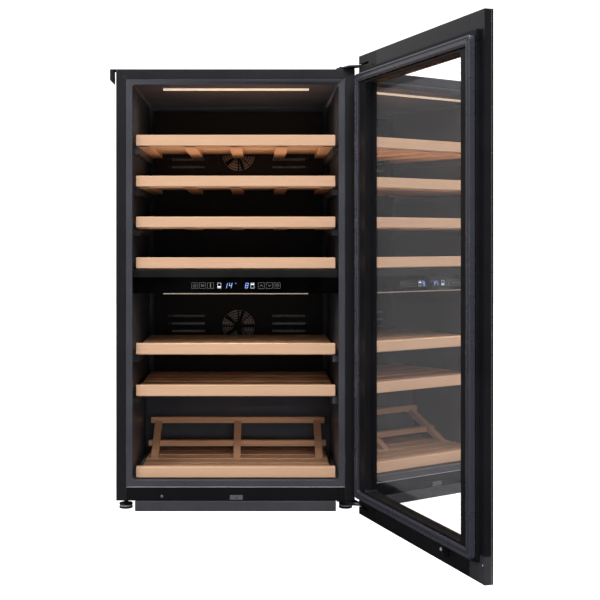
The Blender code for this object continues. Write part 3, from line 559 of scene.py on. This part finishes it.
def spacer_finish():
    """Black anodised spacer with a row of breathing holes, SPACER_HOLE_PITCH apart, up its face."""
    made, tree, shader, position = new_material("perforated spacer", Metallic=0.3, Roughness=0.38)
    height = add_node(tree, "ShaderNodeSeparateXYZ", None, i0=position).outputs[2]
    step = math_node(tree, "FRACT", math_node(tree, "MULTIPLY", height, 1 / SPACER_HOLE_PITCH))
    from_middle = math_node(tree, "ABSOLUTE", math_node(tree, "SUBTRACT", step, 0.5))
    hole = math_node(tree, "LESS_THAN", from_middle, 0.22)
    speck = spread(tree, noise(tree, position, 0.004), 0.3, 0.7)
    dark = mix_colour(tree, speck, linear(20, 20, 23), linear(28, 28, 31))
    tree.links.new(mix_colour(tree, hole, dark, linear(120, 120, 126)), shader.inputs["Base Color"])
    add_bump(tree, shader, hole, 0.0003, 0.6)
    return made


def foam_finish():
    """Straw-coloured foam with cells about 1 mm across."""
    made, tree, shader, position = new_material("cut foam", Roughness=0.9)
    cells = add_node(tree, "ShaderNodeTexVoronoi", None, Vector=position, Scale=900.0)
    shade = mix_colour(tree, cells.outputs["Distance"], linear(214, 190, 130), linear(236, 218, 168))
    tree.links.new(shade, shader.inputs["Base Color"])
    add_bump(tree, shader, cells.outputs["Distance"], 0.0004)
    return made


def circuit_finish():
    """Green lacquer with paler copper lanes under it."""
    made, tree, shader, position = new_material("circuit lacquer", Roughness=0.35)
    lanes = add_node(tree, "ShaderNodeTexBrick", None, Vector=position, Scale=160.0)
    lanes.inputs["Color1"].default_value = linear(24, 82, 48)
    lanes.inputs["Color2"].default_value = linear(30, 92, 55)
    lanes.inputs["Mortar"].default_value = linear(70, 130, 80)
    tree.links.new(lanes.outputs["Color"], shader.inputs["Base Color"])
    return made


FINISH = {
    "black_steel": skinned(
        "black enamel", (28, 28, 32), 0.34, drift=0.02, grain=0.45, depth=0.00003, tint=0.03,
        Specular_IOR_Level=0.35
    ),
    "black_plastic": skinned("black plastic", (13, 13, 14), 0.46, Specular_IOR_Level=0.3),
    "liner_plastic": skinned(
        "liner plastic", (60, 61, 67), 0.36, drift=0.03, grain=0.8, Specular_IOR_Level=0.4
    ),
    "zinc_steel": metal("zinc-plated steel", (165, 167, 170), 0.38),
    "hinge_steel": skinned("hinge enamel", (20, 21, 23), 0.34, Specular_IOR_Level=0.4),
    "plinth_grey": skinned("plinth enamel", (60, 59, 64), 0.42, Specular_IOR_Level=0.3),
    "foam": foam_finish(),
    "door_plastic": skinned(
        "door plastic", (20, 20, 24), 0.32, drift=0.02, depth=0.00001, Specular_IOR_Level=0.3
    ),
    "seal_rubber": skinned(
        "seal rubber", (50, 51, 60), 0.28, drift=0.02, depth=0.000005, tint=0.03, Specular_IOR_Level=0.6
    ),
    "tinted_glass": glass("smoked glass", (160, 158, 160), 0.0),
    "mirror_pane": glass("coated inner glass", (240, 240, 240), 0.62),
    "spacer_black": spacer_finish(),
    "panel_glass": skinned(
        "black panel glass", (1, 1, 1), 0.05, drift=0.02, depth=0.000002, Specular_IOR_Level=0.03
    ),
    "circuit_green": circuit_finish(),
    "light_white": glowing("warm diffuser", (250, 234, 212), 0.36),
    "beech": wood("beech", (213, 173, 141), (190, 144, 111), 0.30),
    "beech_rack": wood("beech slats", (214, 168, 132), (176, 126, 90), 0.5),
    "aluminium": metal("aluminium fins", (200, 202, 205), 0.32),
    "compressor_black": skinned("compressor enamel", (18, 18, 20), 0.32, grain=0.5),
    "rubber": skinned("foot rubber", (26, 26, 28), 0.6),
}
# Zinc made paler and less metallic than bare zinc, so that small heads shine even in shade: partly the
# screws' own colour, partly painted highlight.
SCREW = skinned("bright zinc", (205, 206, 210), 0.30, Metallic=0.3)
DARK_SCREW = metal("dark screw", (70, 72, 76), 0.35)
# Pale grey band round the middle of each foot's sole: a painted highlight, not a colour of the foot.
FOOT_HIGHLIGHT_BAND = skinned("foot cap", (150, 150, 156), 0.4)
# Pale grey line standing in for the highlight on the strip's top edge: a painted highlight.
EDGE_HIGHLIGHT_GREY = skinned("bare steel edge", (170, 170, 176), 0.35)
PLATE_GREY = skinned("plate enamel", (84, 84, 88), 0.42)
CAP_GREY = skinned("cap plastic", (52, 52, 56), 0.40, drift=0.02, Specular_IOR_Level=0.3)
STRIP_BLACK = skinned(
    "strip enamel", (17, 17, 19), 0.36, drift=0.02, grain=0.45, depth=0.000008, tint=0.03,
    Specular_IOR_Level=0.25
)
MOULDING = skinned("frame moulding", (19, 19, 22), 0.42, drift=0.02, depth=0.00001, Specular_IOR_Level=0.12)
# Solids whose finish differs from the rest of their material slot.
LOOKS = {
    "fixing_plate": PLATE_GREY,
    "zone_divider": FINISH["black_plastic"],
    "free_cap_bottom": CAP_GREY,
    "free_cap_top": FINISH["door_plastic"],
    "bottom_front_panel": STRIP_BLACK,
}
DIM_LIGHT = glowing("dim diffuser", (244, 226, 208), 0.07)
GLYPH_GREY = glowing("grey print", (120, 118, 116), 0.32)
GLYPH_WHITE = glowing("white print", (215, 222, 235), 1.0)
GLYPH_BLUE = glowing("blue figures", (160, 182, 250), 0.75)

SLOT_OF = {row["node"]: row["material_slot"] for row in frame["record"]["subparts"]}


def paint_solids():
    """Gives every solid the finish of its slot; the inner pane has a mirroring coat of its own."""
    for node, slot in SLOT_OF.items():
        finish = FINISH["mirror_pane"] if node == "inner_pane" else FINISH[slot]
        mesh = NODES[node].data
        mesh.materials.clear()
        mesh.materials.append(finish)


# ---- cabinet ---------------------------------------------------------------------------------------
def soften_solids():
    """Rounds the edges of the solids whose shape is kept."""
    widths = {
        "side_panel_left": 0.0006,
        "side_panel_right": 0.0006,
        "top_panel": 0.0006,
        "bottom_front_panel": 0.0004,
        "fixing_plate": 0.0003,
        "plinth": 0.0006,
        "fixing_bracket": 0.0006,
        "hinge_plate_top": 0.0005,
        "hinge_plate_bottom": 0.0005,
        "hinge_cap_top": 0.0007,
        "hinge_cap_bottom": 0.0007,
        "free_cap_top": 0.0007,
        "free_cap_bottom": 0.0007,
        "door_catch": 0.0005,
        "door_frame": 0.0005,
        "zone_divider": 0.0010,
        "control_panel": 0.0005,
        "duct_cover_upper": 0.0008,
        "duct_cover_lower": 0.0008,
        "mains_inlet": 0.0006,
        "drip_tray": 0.0006,
        "bay_fan_frame": 0.0004,
        "back_panel": 0.0003,
        "door_glass": 0.0004,
    }
    for node, width in widths.items():
        slot = SLOT_OF[node]
        soften(node, LOOKS.get(node, FINISH[slot]), width)
    soften("inner_liner", FINISH["liner_plastic"], 0.0)


def make_feet():
    """Levelling feet: a ribbed cap and a stem with r = core + ridge * |sin(pi z / pitch)| for its thread; the
    pale grey band round the sole's middle is a painted highlight.
    """
    sole = [
        (0.0145, 0.0), (0.0158, 0.0008), (0.0160, 0.0020), (0.0160, 0.0040), (0.0150, 0.0046),
        (0.0150, 0.0088), (0.0160, 0.0094), (0.0160, 0.0112), (0.0154, 0.0122), (0.0100, 0.0126),
        (0.0085, 0.0128),
    ]
    highlight_band_profile = [(0.0149, 0.0050), (0.0152, 0.0052), (0.0152, 0.0083), (0.0149, 0.0085)]
    for node in [f"foot_{end}_{side}" for end in ("front", "rear") for side in ("left", "right")]:
        low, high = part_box(node)
        centre = ((low.x + high.x) / 2, (low.y + high.y) / 2, 0)
        level = np.arange(THREAD_BOTTOM, high.z - 0.0002, 0.0004)
        thread = THREAD_CORE + THREAD_RIDGE * np.abs(np.sin(level * np.pi / THREAD_PITCH))
        foot = lathe(sole + list(zip(thread, level)), centre)
        add_piece(node + "_turned", foot, FINISH["rubber"], "cabinet", [node])
        # The pale band on the foot's side is a painted highlight.
        add_piece(node + "_band", lathe(highlight_band_profile, centre), FOOT_HIGHLIGHT_BAND, "cabinet")


def make_screws():
    """The screws on both hinge plates and on the bracket, and the plug in the strip's hole."""
    heads = []
    upper_plate_top, lower_plate_underside = 1.0340, 0.0190
    for x, y in ((0.2460, 0.0120), (0.2460, 0.0225), (0.2690, 0.0170)):
        heads.append(screw_head((x, y, upper_plate_top), (0, 0, 1), *HINGE_PLATE_HEAD))
        heads.append(screw_head((x, y, lower_plate_underside), (0, 0, -1), *HINGE_PLATE_HEAD))
    bracket_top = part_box("fixing_bracket")[1].z
    for x in (-0.2760, -0.2480):
        heads.append(screw_head((x, 0.036, bracket_top), (0, 0, 1), *BRACKET_HEAD))
    add_piece("cabinet_screws", together(*heads), DARK_SCREW, "cabinet")
    plug_profile = [(0.0036, 0.0), (0.0036, -0.0005), (0.0030, -0.0010), (0.0008, -0.0012)]
    plug = lathe(plug_profile, (-0.1713, 0, 0.0340), axis=1)
    add_piece("hole_plug", plug, PLATE_GREY, "cabinet")


def make_strip_edge_highlight():
    """A pale line along the top of the strip, under the lip: a painted highlight of the strip's top edge."""
    low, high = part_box("bottom_front_panel")
    line = soft_block(
        (low.x + 0.0005, -0.0005, high.z - 0.0006), (high.x - 0.0005, 0.0004, high.z + 0.0004), 0.0002
    )
    add_piece("strip_hairline", line, EDGE_HIGHLIGHT_GREY, "cabinet")


# ---- inside ----------------------------------------------------------------------------------------
def slatted(low, high, half):
    """Five runners from front to back, and on them a front rail and slats across, all with rounded edges.
    The slats fill the depth behind the rail evenly, as near to SLAT_PITCH apart as a whole number lets."""
    blocks = []
    for i in range(5):
        x = (half - RUNNER_HALF) * (i - 2) / 2
        front, back = (x - RUNNER_HALF, low.y, low.z), (x + RUNNER_HALF, high.y, high.z - RUNNER_DROP)
        blocks.append(soft_block(front, back, 0.0012, along=1))
    rail_back = low.y + RAIL_DEEP
    blocks.append(soft_block((-half, low.y, low.z + 0.0002), (half, rail_back, high.z), 0.0012))
    count = round((high.y - rail_back) / SLAT_PITCH)
    for i in range(count):
        y = rail_back + (high.y - rail_back) / count * (i + 1)
        blocks.append(soft_block((-half, y - SLAT_DEEP, high.z - SLAT_THICK), (half, y, high.z), 0.0016))
    return blocks


def make_board(node, body):
    """A shelf's beech front, with eased edges."""
    low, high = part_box(node)
    board = soft_block(low, high, 0.0016, edge=0.0012, steps=4)
    add_piece(node + "_board", board, FINISH["beech"], body, [node])


def make_shelves():
    """The sliding shelves, each with its front and its slatted rack on a body of its own."""
    for number in SHELVES:
        body = f"shelf_{number}"
        make_board(f"shelf_front_{number}", body)
        rack = f"shelf_rack_{number}"
        low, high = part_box(rack)
        surface = together(*slatted(low, high, high.x))
        add_piece(rack + "_slats", surface, FINISH["beech_rack"], body, [rack])


def make_display_shelf():
    """The fixed shelf: a front, a slatted deck, and two bars across three slopes for its raised back."""
    make_board("display_front", "cabinet")
    low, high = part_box("display_rack")
    deck_high = high.copy()
    deck_high.z = low.z + DISPLAY_DECK_HIGH
    blocks = slatted(low, deck_high, high.x)
    slope = [(0.180, 0.0860), (0.200, 0.0860), (0.334, 0.157), (0.334, 0.170), (0.324, 0.170)]
    slope_half = 0.009
    for x in (-0.205, 0.0, 0.205):
        blocks.append(prism(slope, 0, x - slope_half, x + slope_half))
    blocks.append(soft_block((-high.x, 0.2440, 0.1080), (high.x, 0.2620, 0.1230), 0.0015))
    blocks.append(soft_block((-high.x, 0.3120, 0.1560), (high.x, 0.3335, 0.1720), 0.0015))
    surface = together(*blocks)
    add_piece("display_rack_slats", surface, FINISH["beech_rack"], "cabinet", ["display_rack"])


def make_light(node, power, drop, finish):
    """A half-round diffuser in the strip's place, drop metres deep, and the light that it gives."""
    low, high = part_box(node)
    half, middle = (high.y - low.y) / 2, (high.y + low.y) / 2
    turn = np.linspace(np.pi, 2 * np.pi, 13)
    section = np.column_stack((middle + half * np.cos(turn), high.z + drop * np.sin(turn) - 0.0002))
    section = np.concatenate((section, [(high.y, high.z), (low.y, high.z)]))
    diffuser = prism(section, 0, low.x, high.x)
    add_piece(node + "_diffuser", diffuser, finish, "cabinet", [node])
    lamp = bpy.data.lights.new(node + "_glow", "AREA")
    lamp.shape = "RECTANGLE"
    lamp.size, lamp.size_y = high.x - low.x, 0.012
    lamp.energy = power
    lamp.color = (1.0, 0.86, 0.68)
    glow = bpy.data.objects.new(node + "_glow", lamp)
    glow.location = ((low.x + high.x) / 2, middle, low.z - 0.004)
    glow.visible_glossy = glow.visible_transmission = False
    bpy.context.scene.collection.objects.link(glow)


def stroke(points, width, y):
    """A flat line of a set width through (x, z) points, 0.15 mm thick, on the plane y."""
    points = np.array(points, float)
    blocks = []
    for start, end in zip(points, points[1:]):
        step = end - start
        step = step / max(np.linalg.norm(step), 1e-9)
        across = np.array([-step[1], step[0]]) * width / 2
        a, b = start - step * width / 2, end + step * width / 2
        blocks.append(prism([a - across, b - across, b + across, a + across], 1, y - 0.00015, y))
    return blocks


DIGIT_SEGMENTS = {"1": "bc", "4": "bcfg", "8": "abcdefg"}


def digit(sign, x, z, tall, y):
    """A leaning seven-segment figure, 0.50 of its height wide: (x + u wide + lean v tall, z + v tall)."""
    wide, lean = 0.50 * tall, 0.20
    ends = {
        "a": ((0, 1), (1, 1)), "b": ((1, 1), (1, 0.5)), "c": ((1, 0.5), (1, 0)), "d": ((0, 0), (1, 0)),
        "e": ((0, 0.5), (0, 0)), "f": ((0, 1), (0, 0.5)), "g": ((0, 0.5), (1, 0.5)),
    }
    blocks = []
    for segment in DIGIT_SEGMENTS[sign]:
        line = [(x + u * wide + lean * v * tall, z + v * tall) for u, v in ends[segment]]
        blocks.extend(stroke(line, 0.0009, y))
    return blocks


def rectangle_line(x, z, half_x, half_z):
    """The corners of a rectangle, and back to the first."""
    return [
        (x - half_x, z - half_z), (x + half_x, z - half_z), (x + half_x, z + half_z),
        (x - half_x, z + half_z), (x - half_x, z - half_z),
    ]


def arc(x, z, radius, start, end, steps=10):
    """Points of an arc from start to end degrees: (x + r cos a, z + r sin a)."""
    turn = np.radians(np.linspace(start, end, steps))
    return np.column_stack((x + radius * np.cos(turn), z + radius * np.sin(turn)))


def make_panel():
    """Touch keys, zone signs and temperature figures on the control panel's face."""
    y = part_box("control_panel")[0].y - 0.00002
    z = PANEL_MIDDLE
    keys = []
    for x in KEY_AT.values():
        keys += stroke(rectangle_line(x, z, *KEY_HALF), OUTLINE_WIDTH, y)
    x = KEY_AT["power"]
    keys += stroke(arc(x, z - 0.0005, 0.0034, 130, 410), 0.0007, y)
    keys += stroke([(x, z + 0.0005), (x, z + 0.0042)], 0.0007, y)
    x = KEY_AT["menu"]
    for lift in (-0.0020, 0.0, 0.0020):
        keys += stroke([(x - 0.0036, z + lift), (x + 0.0036, z + lift)], 0.0006, y)
    x = KEY_AT["bar"]
    keys += stroke([(x, z - 0.0040), (x, z + 0.0042)], 0.0016, y)
    for x, way in ((KEY_AT["up"], 1), (KEY_AT["down"], -1)):
        foot, tip = z - 0.0016 * way, z + 0.0018 * way
        keys += stroke([(x - 0.0032, foot), (x, tip), (x + 0.0032, foot)], 0.0007, y)
    x = KEY_AT["clock"]
    keys += stroke(arc(x, z, 0.0036, 0, 360, 16), 0.0006, y)
    keys += stroke([(x, z), (x + 0.0020, z + 0.0014)], 0.0006, y)
    add_piece("panel_keys", together(*keys), GLYPH_GREY, "cabinet")
    signs = []
    for x, way in ((-0.0385, -1), (0.0394, 1)):
        signs += stroke(rectangle_line(x, z, *ZONE_SIGN_HALF), OUTLINE_WIDTH, y)
        signs += stroke([(x - 0.0018, z + 0.0030 * way), (x + 0.0018, z + 0.0030 * way)], 0.0028, y)
    add_piece("panel_zone_signs", together(*signs), GLYPH_WHITE, "cabinet")
    figures = []
    for sign, x in (("1", -0.0270), ("4", -0.0162), ("8", 0.0222)):
        figures += digit(sign, x, z - DIGIT_TALL / 2, DIGIT_TALL, y)
    figures += stroke(arc(0.0001, z + 0.0050, 0.0008, 0, 360, 9), 0.0005, y)
    add_piece("panel_figures", together(*figures), GLYPH_BLUE, "cabinet")


def make_fan_guards():
    """Wire rings on four spokes and a hub, in front of each zone's fan opening."""
    for zone, fan in (("upper", "fan_upper"), ("lower", "fan_lower")):
        low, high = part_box(fan)
        centre = (0.0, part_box("duct_cover_" + zone)[0].y - 0.0010, (low.z + high.z) / 2)
        rings = [torus(radius, 0.0010, centre, axis=1) for radius in (0.018, 0.025, 0.032, 0.039, 0.0455)]
        for turn in np.radians([45, 135, 225, 315]):
            way = np.array([np.cos(turn), np.sin(turn)])
            inner, outer = way * 0.012, way * 0.0474
            across = np.array([-way[1], way[0]]) * 0.0010
            outline = [inner - across, outer - across, outer + across, inner + across]
            outline = [(u, centre[2] + v) for u, v in outline]
            rings.append(prism(outline, 1, centre[1] - 0.0004, centre[1] + 0.0009))
        hub = lathe([(0.0135, 0.0009), (0.0135, -0.0012), (0.0120, -0.0022), (0.0010, -0.0026)], centre, 1)
        rings.append(hub)
        add_piece(f"fan_guard_{zone}", together(*rings), FINISH["black_plastic"], "cabinet")


# ---- door ------------------------------------------------------------------------------------------
def door_ring(section, steps=5):
    """A closed frame on the shut door: each (left, right, bottom, top, radius, y) is a rounded rectangle.
    A y given as (upright, level) runs from one to the other round each corner by the squared cosine."""
    turn = np.concatenate([np.linspace(0, np.pi / 2, steps + 1) + i * np.pi / 2 for i in range(4)])
    upright = np.cos(turn) ** 2
    loops = []
    for left, right, bottom, top, radius, y in section:
        if isinstance(y, tuple):
            y = y[1] + (y[0] - y[1]) * upright
        ring = rounded_rectangle((right - left) / 2, (top - bottom) / 2, radius, steps)
        loop = np.empty((len(ring), 3))
        loop[:, 0] = ring[:, 0] + (left + right) / 2
        loop[:, 1] = HINGE_Y + y
        loop[:, 2] = ring[:, 1] + (bottom + top) / 2
        loops.append(loop)
    return turn_with_door(loft(loops, closed=True))


def inset(outline, reach, radius, level):
    """A row for door_ring: an outline moved in by `reach`, with its corner radius and its level."""
    left, right, bottom, top = outline
    return (left + reach, right - reach, bottom + reach, top - reach, radius, level)


def make_seal():
    """A magnetic seal: two rolled ridges with a groove between, on a pleated foot. Its level runs have no
    groove: between its edges they stay at or above plain_level."""
    profile = [
        (0.0016, 0.0193), (0.0006, 0.0200), (0.0000, 0.0212), (0.0000, 0.0268), (0.0009, 0.0276),
        (0.0009, 0.0284), (0.0001, 0.0291), (0.0002, 0.0306), (0.0012, 0.0317), (0.0028, 0.0322),
        (0.0046, 0.0320), (0.0060, 0.0310), (0.0068, 0.0296), (0.0078, 0.0288), (0.0090, 0.0296),
        (0.0098, 0.0311), (0.0112, 0.0320), (0.0140, 0.0322), (0.0164, 0.0317), (0.0180, 0.0304),
        (0.0185, 0.0290), (0.0178, 0.0276), (0.0186, 0.0262), (0.0186, 0.0210), (0.0176, 0.0193),
    ]
    plain_from, plain_to, plain_level = 0.0020, 0.0170, 0.0315
    section = []
    for reach, upright in profile:
        level = max(upright, plain_level) if plain_from < reach < plain_to else upright
        radius = max(0.0080 - 0.3 * reach, 0.002)
        section.append(inset(SEAL_OUTLINE, reach, radius, (upright, level)))
    add_piece(
        "door_seal_bellows", door_ring(section), FINISH["seal_rubber"], "door", ["door_seal"],
        sharp_degrees=50,
    )


def make_inner_frame():
    """The moulded frame: an outer wall with a step, a seat for the seal, a rounded rim at the glass and a
    recess for the pane, and the small block at its upper free corner."""
    wall = SEAL_WIDTH + 0.0003
    section = [
        inset(FRAME_OUTLINE, 0, 0.006, FRAME_FRONT),
        inset(FRAME_OUTLINE, 0, 0.006, 0.0174),
        inset(FRAME_OUTLINE, 0.0006, 0.006, 0.0186),
        inset(FRAME_OUTLINE, 0.0018, 0.006, SEAL_SEAT),
        inset(SEAL_OUTLINE, wall, 0.007, SEAL_SEAT),
        inset(SEAL_OUTLINE, wall, 0.007, 0.0250),
        inset(SEAL_OUTLINE, wall + 0.0004, 0.007, 0.0266),
        inset(SEAL_OUTLINE, wall + 0.0014, 0.007, 0.0274),
        inset(SEAL_OUTLINE, wall + 0.0024, 0.007, RIM_LEVEL),
        inset(RIM_OUTLINE, -0.0020, 0.010, RIM_LEVEL),
        inset(RIM_OUTLINE, -0.0008, 0.009, 0.0271),
        inset(RIM_OUTLINE, -0.0001, 0.008, 0.0260),
        inset(RIM_OUTLINE, 0, 0.008, PANE_SEAT),
        inset(RECESS_OUTLINE, 0, 0.004, PANE_SEAT),
        inset(RECESS_OUTLINE, 0, 0.004, FRAME_FRONT),
    ]
    frame_surface = door_ring(section, steps=6)
    add_piece("inner_frame_moulding", frame_surface, MOULDING, "door", ["inner_frame"])
    corner = soft_block(
        (HINGE_X - 0.5735, HINGE_Y + 0.0112, 0.9970), (HINGE_X - 0.5718, HINGE_Y + 0.0188, 1.0185), 0.0004
    )
    add_piece("inner_frame_corner", turn_with_door(corner), MOULDING, "door")


def make_glass_print():
    """The black border printed on the back of the outer glass, between it and the frame."""
    section = [
        inset(PRINT_OUTLINE, 0, 0.0010, PRINT_FRONT),
        inset(PRINT_OUTLINE, 0, 0.0010, PRINT_BACK),
        inset(CLEAR_OUTLINE, 0, 0.0020, PRINT_BACK),
        inset(CLEAR_OUTLINE, 0, 0.0020, PRINT_FRONT),
    ]
    add_piece("glass_print", door_ring(section), FINISH["door_plastic"], "door")


def make_door_screws():
    """Heads on the door's back: the lower free cap's and the catch's are zinc painted paler than bare metal
    as a highlight, and the others are black.
    """
    def on_back(x, y, z):
        """A point measured from the hinge axis on the shut door, turned with the door."""
        return turn_with_door((np.array([(HINGE_X + x, HINGE_Y + y, z)]), []))[0][0]

    outward = on_back(0, 1, 0) - on_back(0, 0, 0)
    cap_x, cap_face = -0.5820, 0.0092
    # These two heads carry the paler zinc: their own colour plus a painted highlight.
    add_piece(
        "free_cap_screw", screw_head(on_back(cap_x, cap_face, 0.0360), outward, *FREE_CAP_HEAD), SCREW,
        "door",
    )
    add_piece(
        "catch_screw", screw_head(on_back(-0.4230, 0.0148, 0.0268), outward, *CATCH_HEAD), SCREW,
        "door",
    )
    dark = [screw_head(on_back(cap_x, cap_face, 1.0187), outward, *FREE_CAP_HEAD)]
    for z in (0.0280, 1.0240):
        dark.append(screw_head(on_back(-0.0780, 0.0105, z), outward, *HINGE_CAP_HEAD))
    add_piece("cap_screws", together(*dark), FINISH["black_plastic"], "door")


# ---- studio ----------------------------------------------------------------------------------------
def make_camera():
    """A level camera in front of the cabinet, its view shifted so that upright edges stay upright."""
    lens = bpy.data.cameras.new("camera")
    lens.lens = 70.74
    lens.sensor_width = 36.0
    lens.shift_x, lens.shift_y = 0.070, -0.100
    camera = bpy.data.objects.new("camera", lens)
    camera.location = (0.0524, -2.745, 0.631)
    camera.rotation_euler = (math.pi / 2, 0, 0)
    bpy.context.scene.collection.objects.link(camera)
    bpy.context.scene.camera = camera
    bpy.context.scene.view_settings.view_transform = "Standard"


def add_softbox(name, location, target, size, power, colour=(1, 1, 1), mirrored=True):
    """A rectangular lamp turned toward its target; mirrored says whether it shows in gloss and glass."""
    lamp = bpy.data.lights.new(name, "AREA")
    lamp.shape = "RECTANGLE"
    lamp.size, lamp.size_y = size
    lamp.energy = power
    lamp.color = colour
    box = bpy.data.objects.new(name, lamp)
    box.location = location
    aim = np.array(target, float) - np.array(location, float)
    yaw = math.atan2(aim[1], aim[0]) - math.pi / 2
    pitch = math.atan2(aim[2], math.hypot(aim[0], aim[1])) + math.pi / 2
    box.rotation_euler = (pitch, 0, yaw)
    box.visible_glossy = box.visible_transmission = mirrored
    bpy.context.scene.collection.objects.link(box)


def sharply_seen(tree):
    """1 for what the camera sees directly, in a mirror or through clear glass, and 0 for other light."""
    path = tree.nodes.new("ShaderNodeLightPath").outputs
    return math_node(tree, "MAXIMUM", path["Is Camera Ray"], path["Is Singular Ray"])


def seen_through(tree):
    """1 for what the camera sees directly or through clear glass, and 0 for other light."""
    path = tree.nodes.new("ShaderNodeLightPath").outputs
    clear = math_node(tree, "MULTIPLY", path["Is Transmission Ray"], path["Is Singular Ray"])
    return math_node(tree, "MAXIMUM", path["Is Camera Ray"], clear)


def make_floor():
    """A pale floor. The camera sees it white, the mirroring pane sees it white behind the door and dark in
    front of it, and other light finds it pale, or dark where it would wash out a gloss."""
    corners = [(-1, -1), (1, -1), (1, 1), (-1, 1)]
    mesh = bpy.data.meshes.new("floor")
    mesh.from_pydata([(x * FLOOR_HALF, y * FLOOR_HALF, -FLOOR_DROP) for x, y in corners], [], [(0, 1, 2, 3)])
    floor = bpy.data.objects.new("floor", mesh)
    bpy.context.scene.collection.objects.link(floor)
    made, tree, shader, position = new_material(
        "pale floor", Roughness=0.8, Specular_IOR_Level=0.1, Emission_Color=(1, 1, 1, 1)
    )
    toward_back = add_node(tree, "ShaderNodeSeparateXYZ", None, i0=position).outputs[1]
    behind_door = spread(tree, toward_back, -0.80, -0.50, 0.10, 1.9)
    mirrored = math_node(tree, "MULTIPLY", sharply_seen(tree), behind_door)
    tree.links.new(
        mix_value(tree, seen_through(tree), mirrored, SEEN_WHITE), shader.inputs["Emission Strength"]
    )
    shade = spread(tree, noise(tree, position, 0.4, 2), 0.3, 0.7)
    pale = mix_colour(tree, shade, (0.42, 0.42, 0.42, 1), (0.45, 0.45, 0.45, 1))
    path = tree.nodes.new("ShaderNodeLightPath").outputs
    glinting = math_node(tree, "MAXIMUM", path["Is Glossy Ray"], path["Is Singular Ray"])
    tree.links.new(mix_colour(tree, glinting, pale, (0.02, 0.02, 0.02, 1)), shader.inputs["Base Color"])
    mesh.materials.append(made)


def make_surround():
    """A white surround: white to the camera, brighter toward the back and dim toward the front in the
    mirroring pane, and a gentler change of the same kind for all other light."""
    world = bpy.data.worlds.new("surround")
    bpy.context.scene.world = world
    world.use_nodes = True
    tree = world.node_tree
    tree.nodes.clear()
    way = tree.nodes.new("ShaderNodeTexCoord").outputs["Generated"]
    toward_back = add_node(tree, "ShaderNodeSeparateXYZ", None, i0=way).outputs[1]
    as_light = spread(tree, toward_back, -0.85, 0.35, 0.10, 0.60)
    mirrored = spread(tree, toward_back, 0.15, 0.55, 0.22, 2.1)
    soft = mix_value(tree, sharply_seen(tree), as_light, mirrored)
    strength = mix_value(tree, seen_through(tree), soft, SEEN_WHITE)
    background = add_node(tree, "ShaderNodeBackground", None, Color=(1, 1, 1, 1), Strength=strength)
    output = tree.nodes.new("ShaderNodeOutputWorld")
    tree.links.new(background.outputs[0], output.inputs[0])


def make_lamps():
    """Soft lamps round the front, one above, and a weak one inside that lights the uppermost rack from
    below, as light thrown up by bottles would."""
    add_softbox("softbox_left", (-2.1, -2.7, 2.9), (0.2, -0.2, 1.0), (1.4, 1.4), 34)
    add_softbox("softbox_strip", (-1.6, -1.6, 0.9), (0.4, -0.4, 0.7), (0.10, 2.0), 7, (0.90, 0.93, 1.0))
    add_softbox("softbox_right", (0.9, -3.6, 3.0), (0, 0, 0.5), (1.4, 1.0), 52)
    add_softbox("softbox_low", (0.6, -3.0, 0.35), (0, 0, 0.35), (1.4, 0.5), 18, mirrored=False)
    add_softbox(
        "shelf_bounce", (0, 0.16, 0.797), (0, 0.17, 1.2), (0.40, 0.22), 0.30, (1.0, 0.84, 0.62),
        mirrored=False,
    )
    add_softbox("softbox_top", (0, -0.6, 3.4), (0, 0, 0), (2.6, 2.0), 105)


make_camera()
make_floor()
make_surround()
make_lamps()
paint_solids()
soften_solids()
make_feet()
make_screws()
make_strip_edge_highlight()
make_shelves()
make_display_shelf()
make_light("light_strip_upper", 0.55, 0.0045, FINISH["light_white"])
make_light("light_strip_lower", 0.22, 0.0018, DIM_LIGHT)
make_panel()
make_fan_guards()
make_seal()
make_inner_frame()
make_glass_print()
make_door_screws()
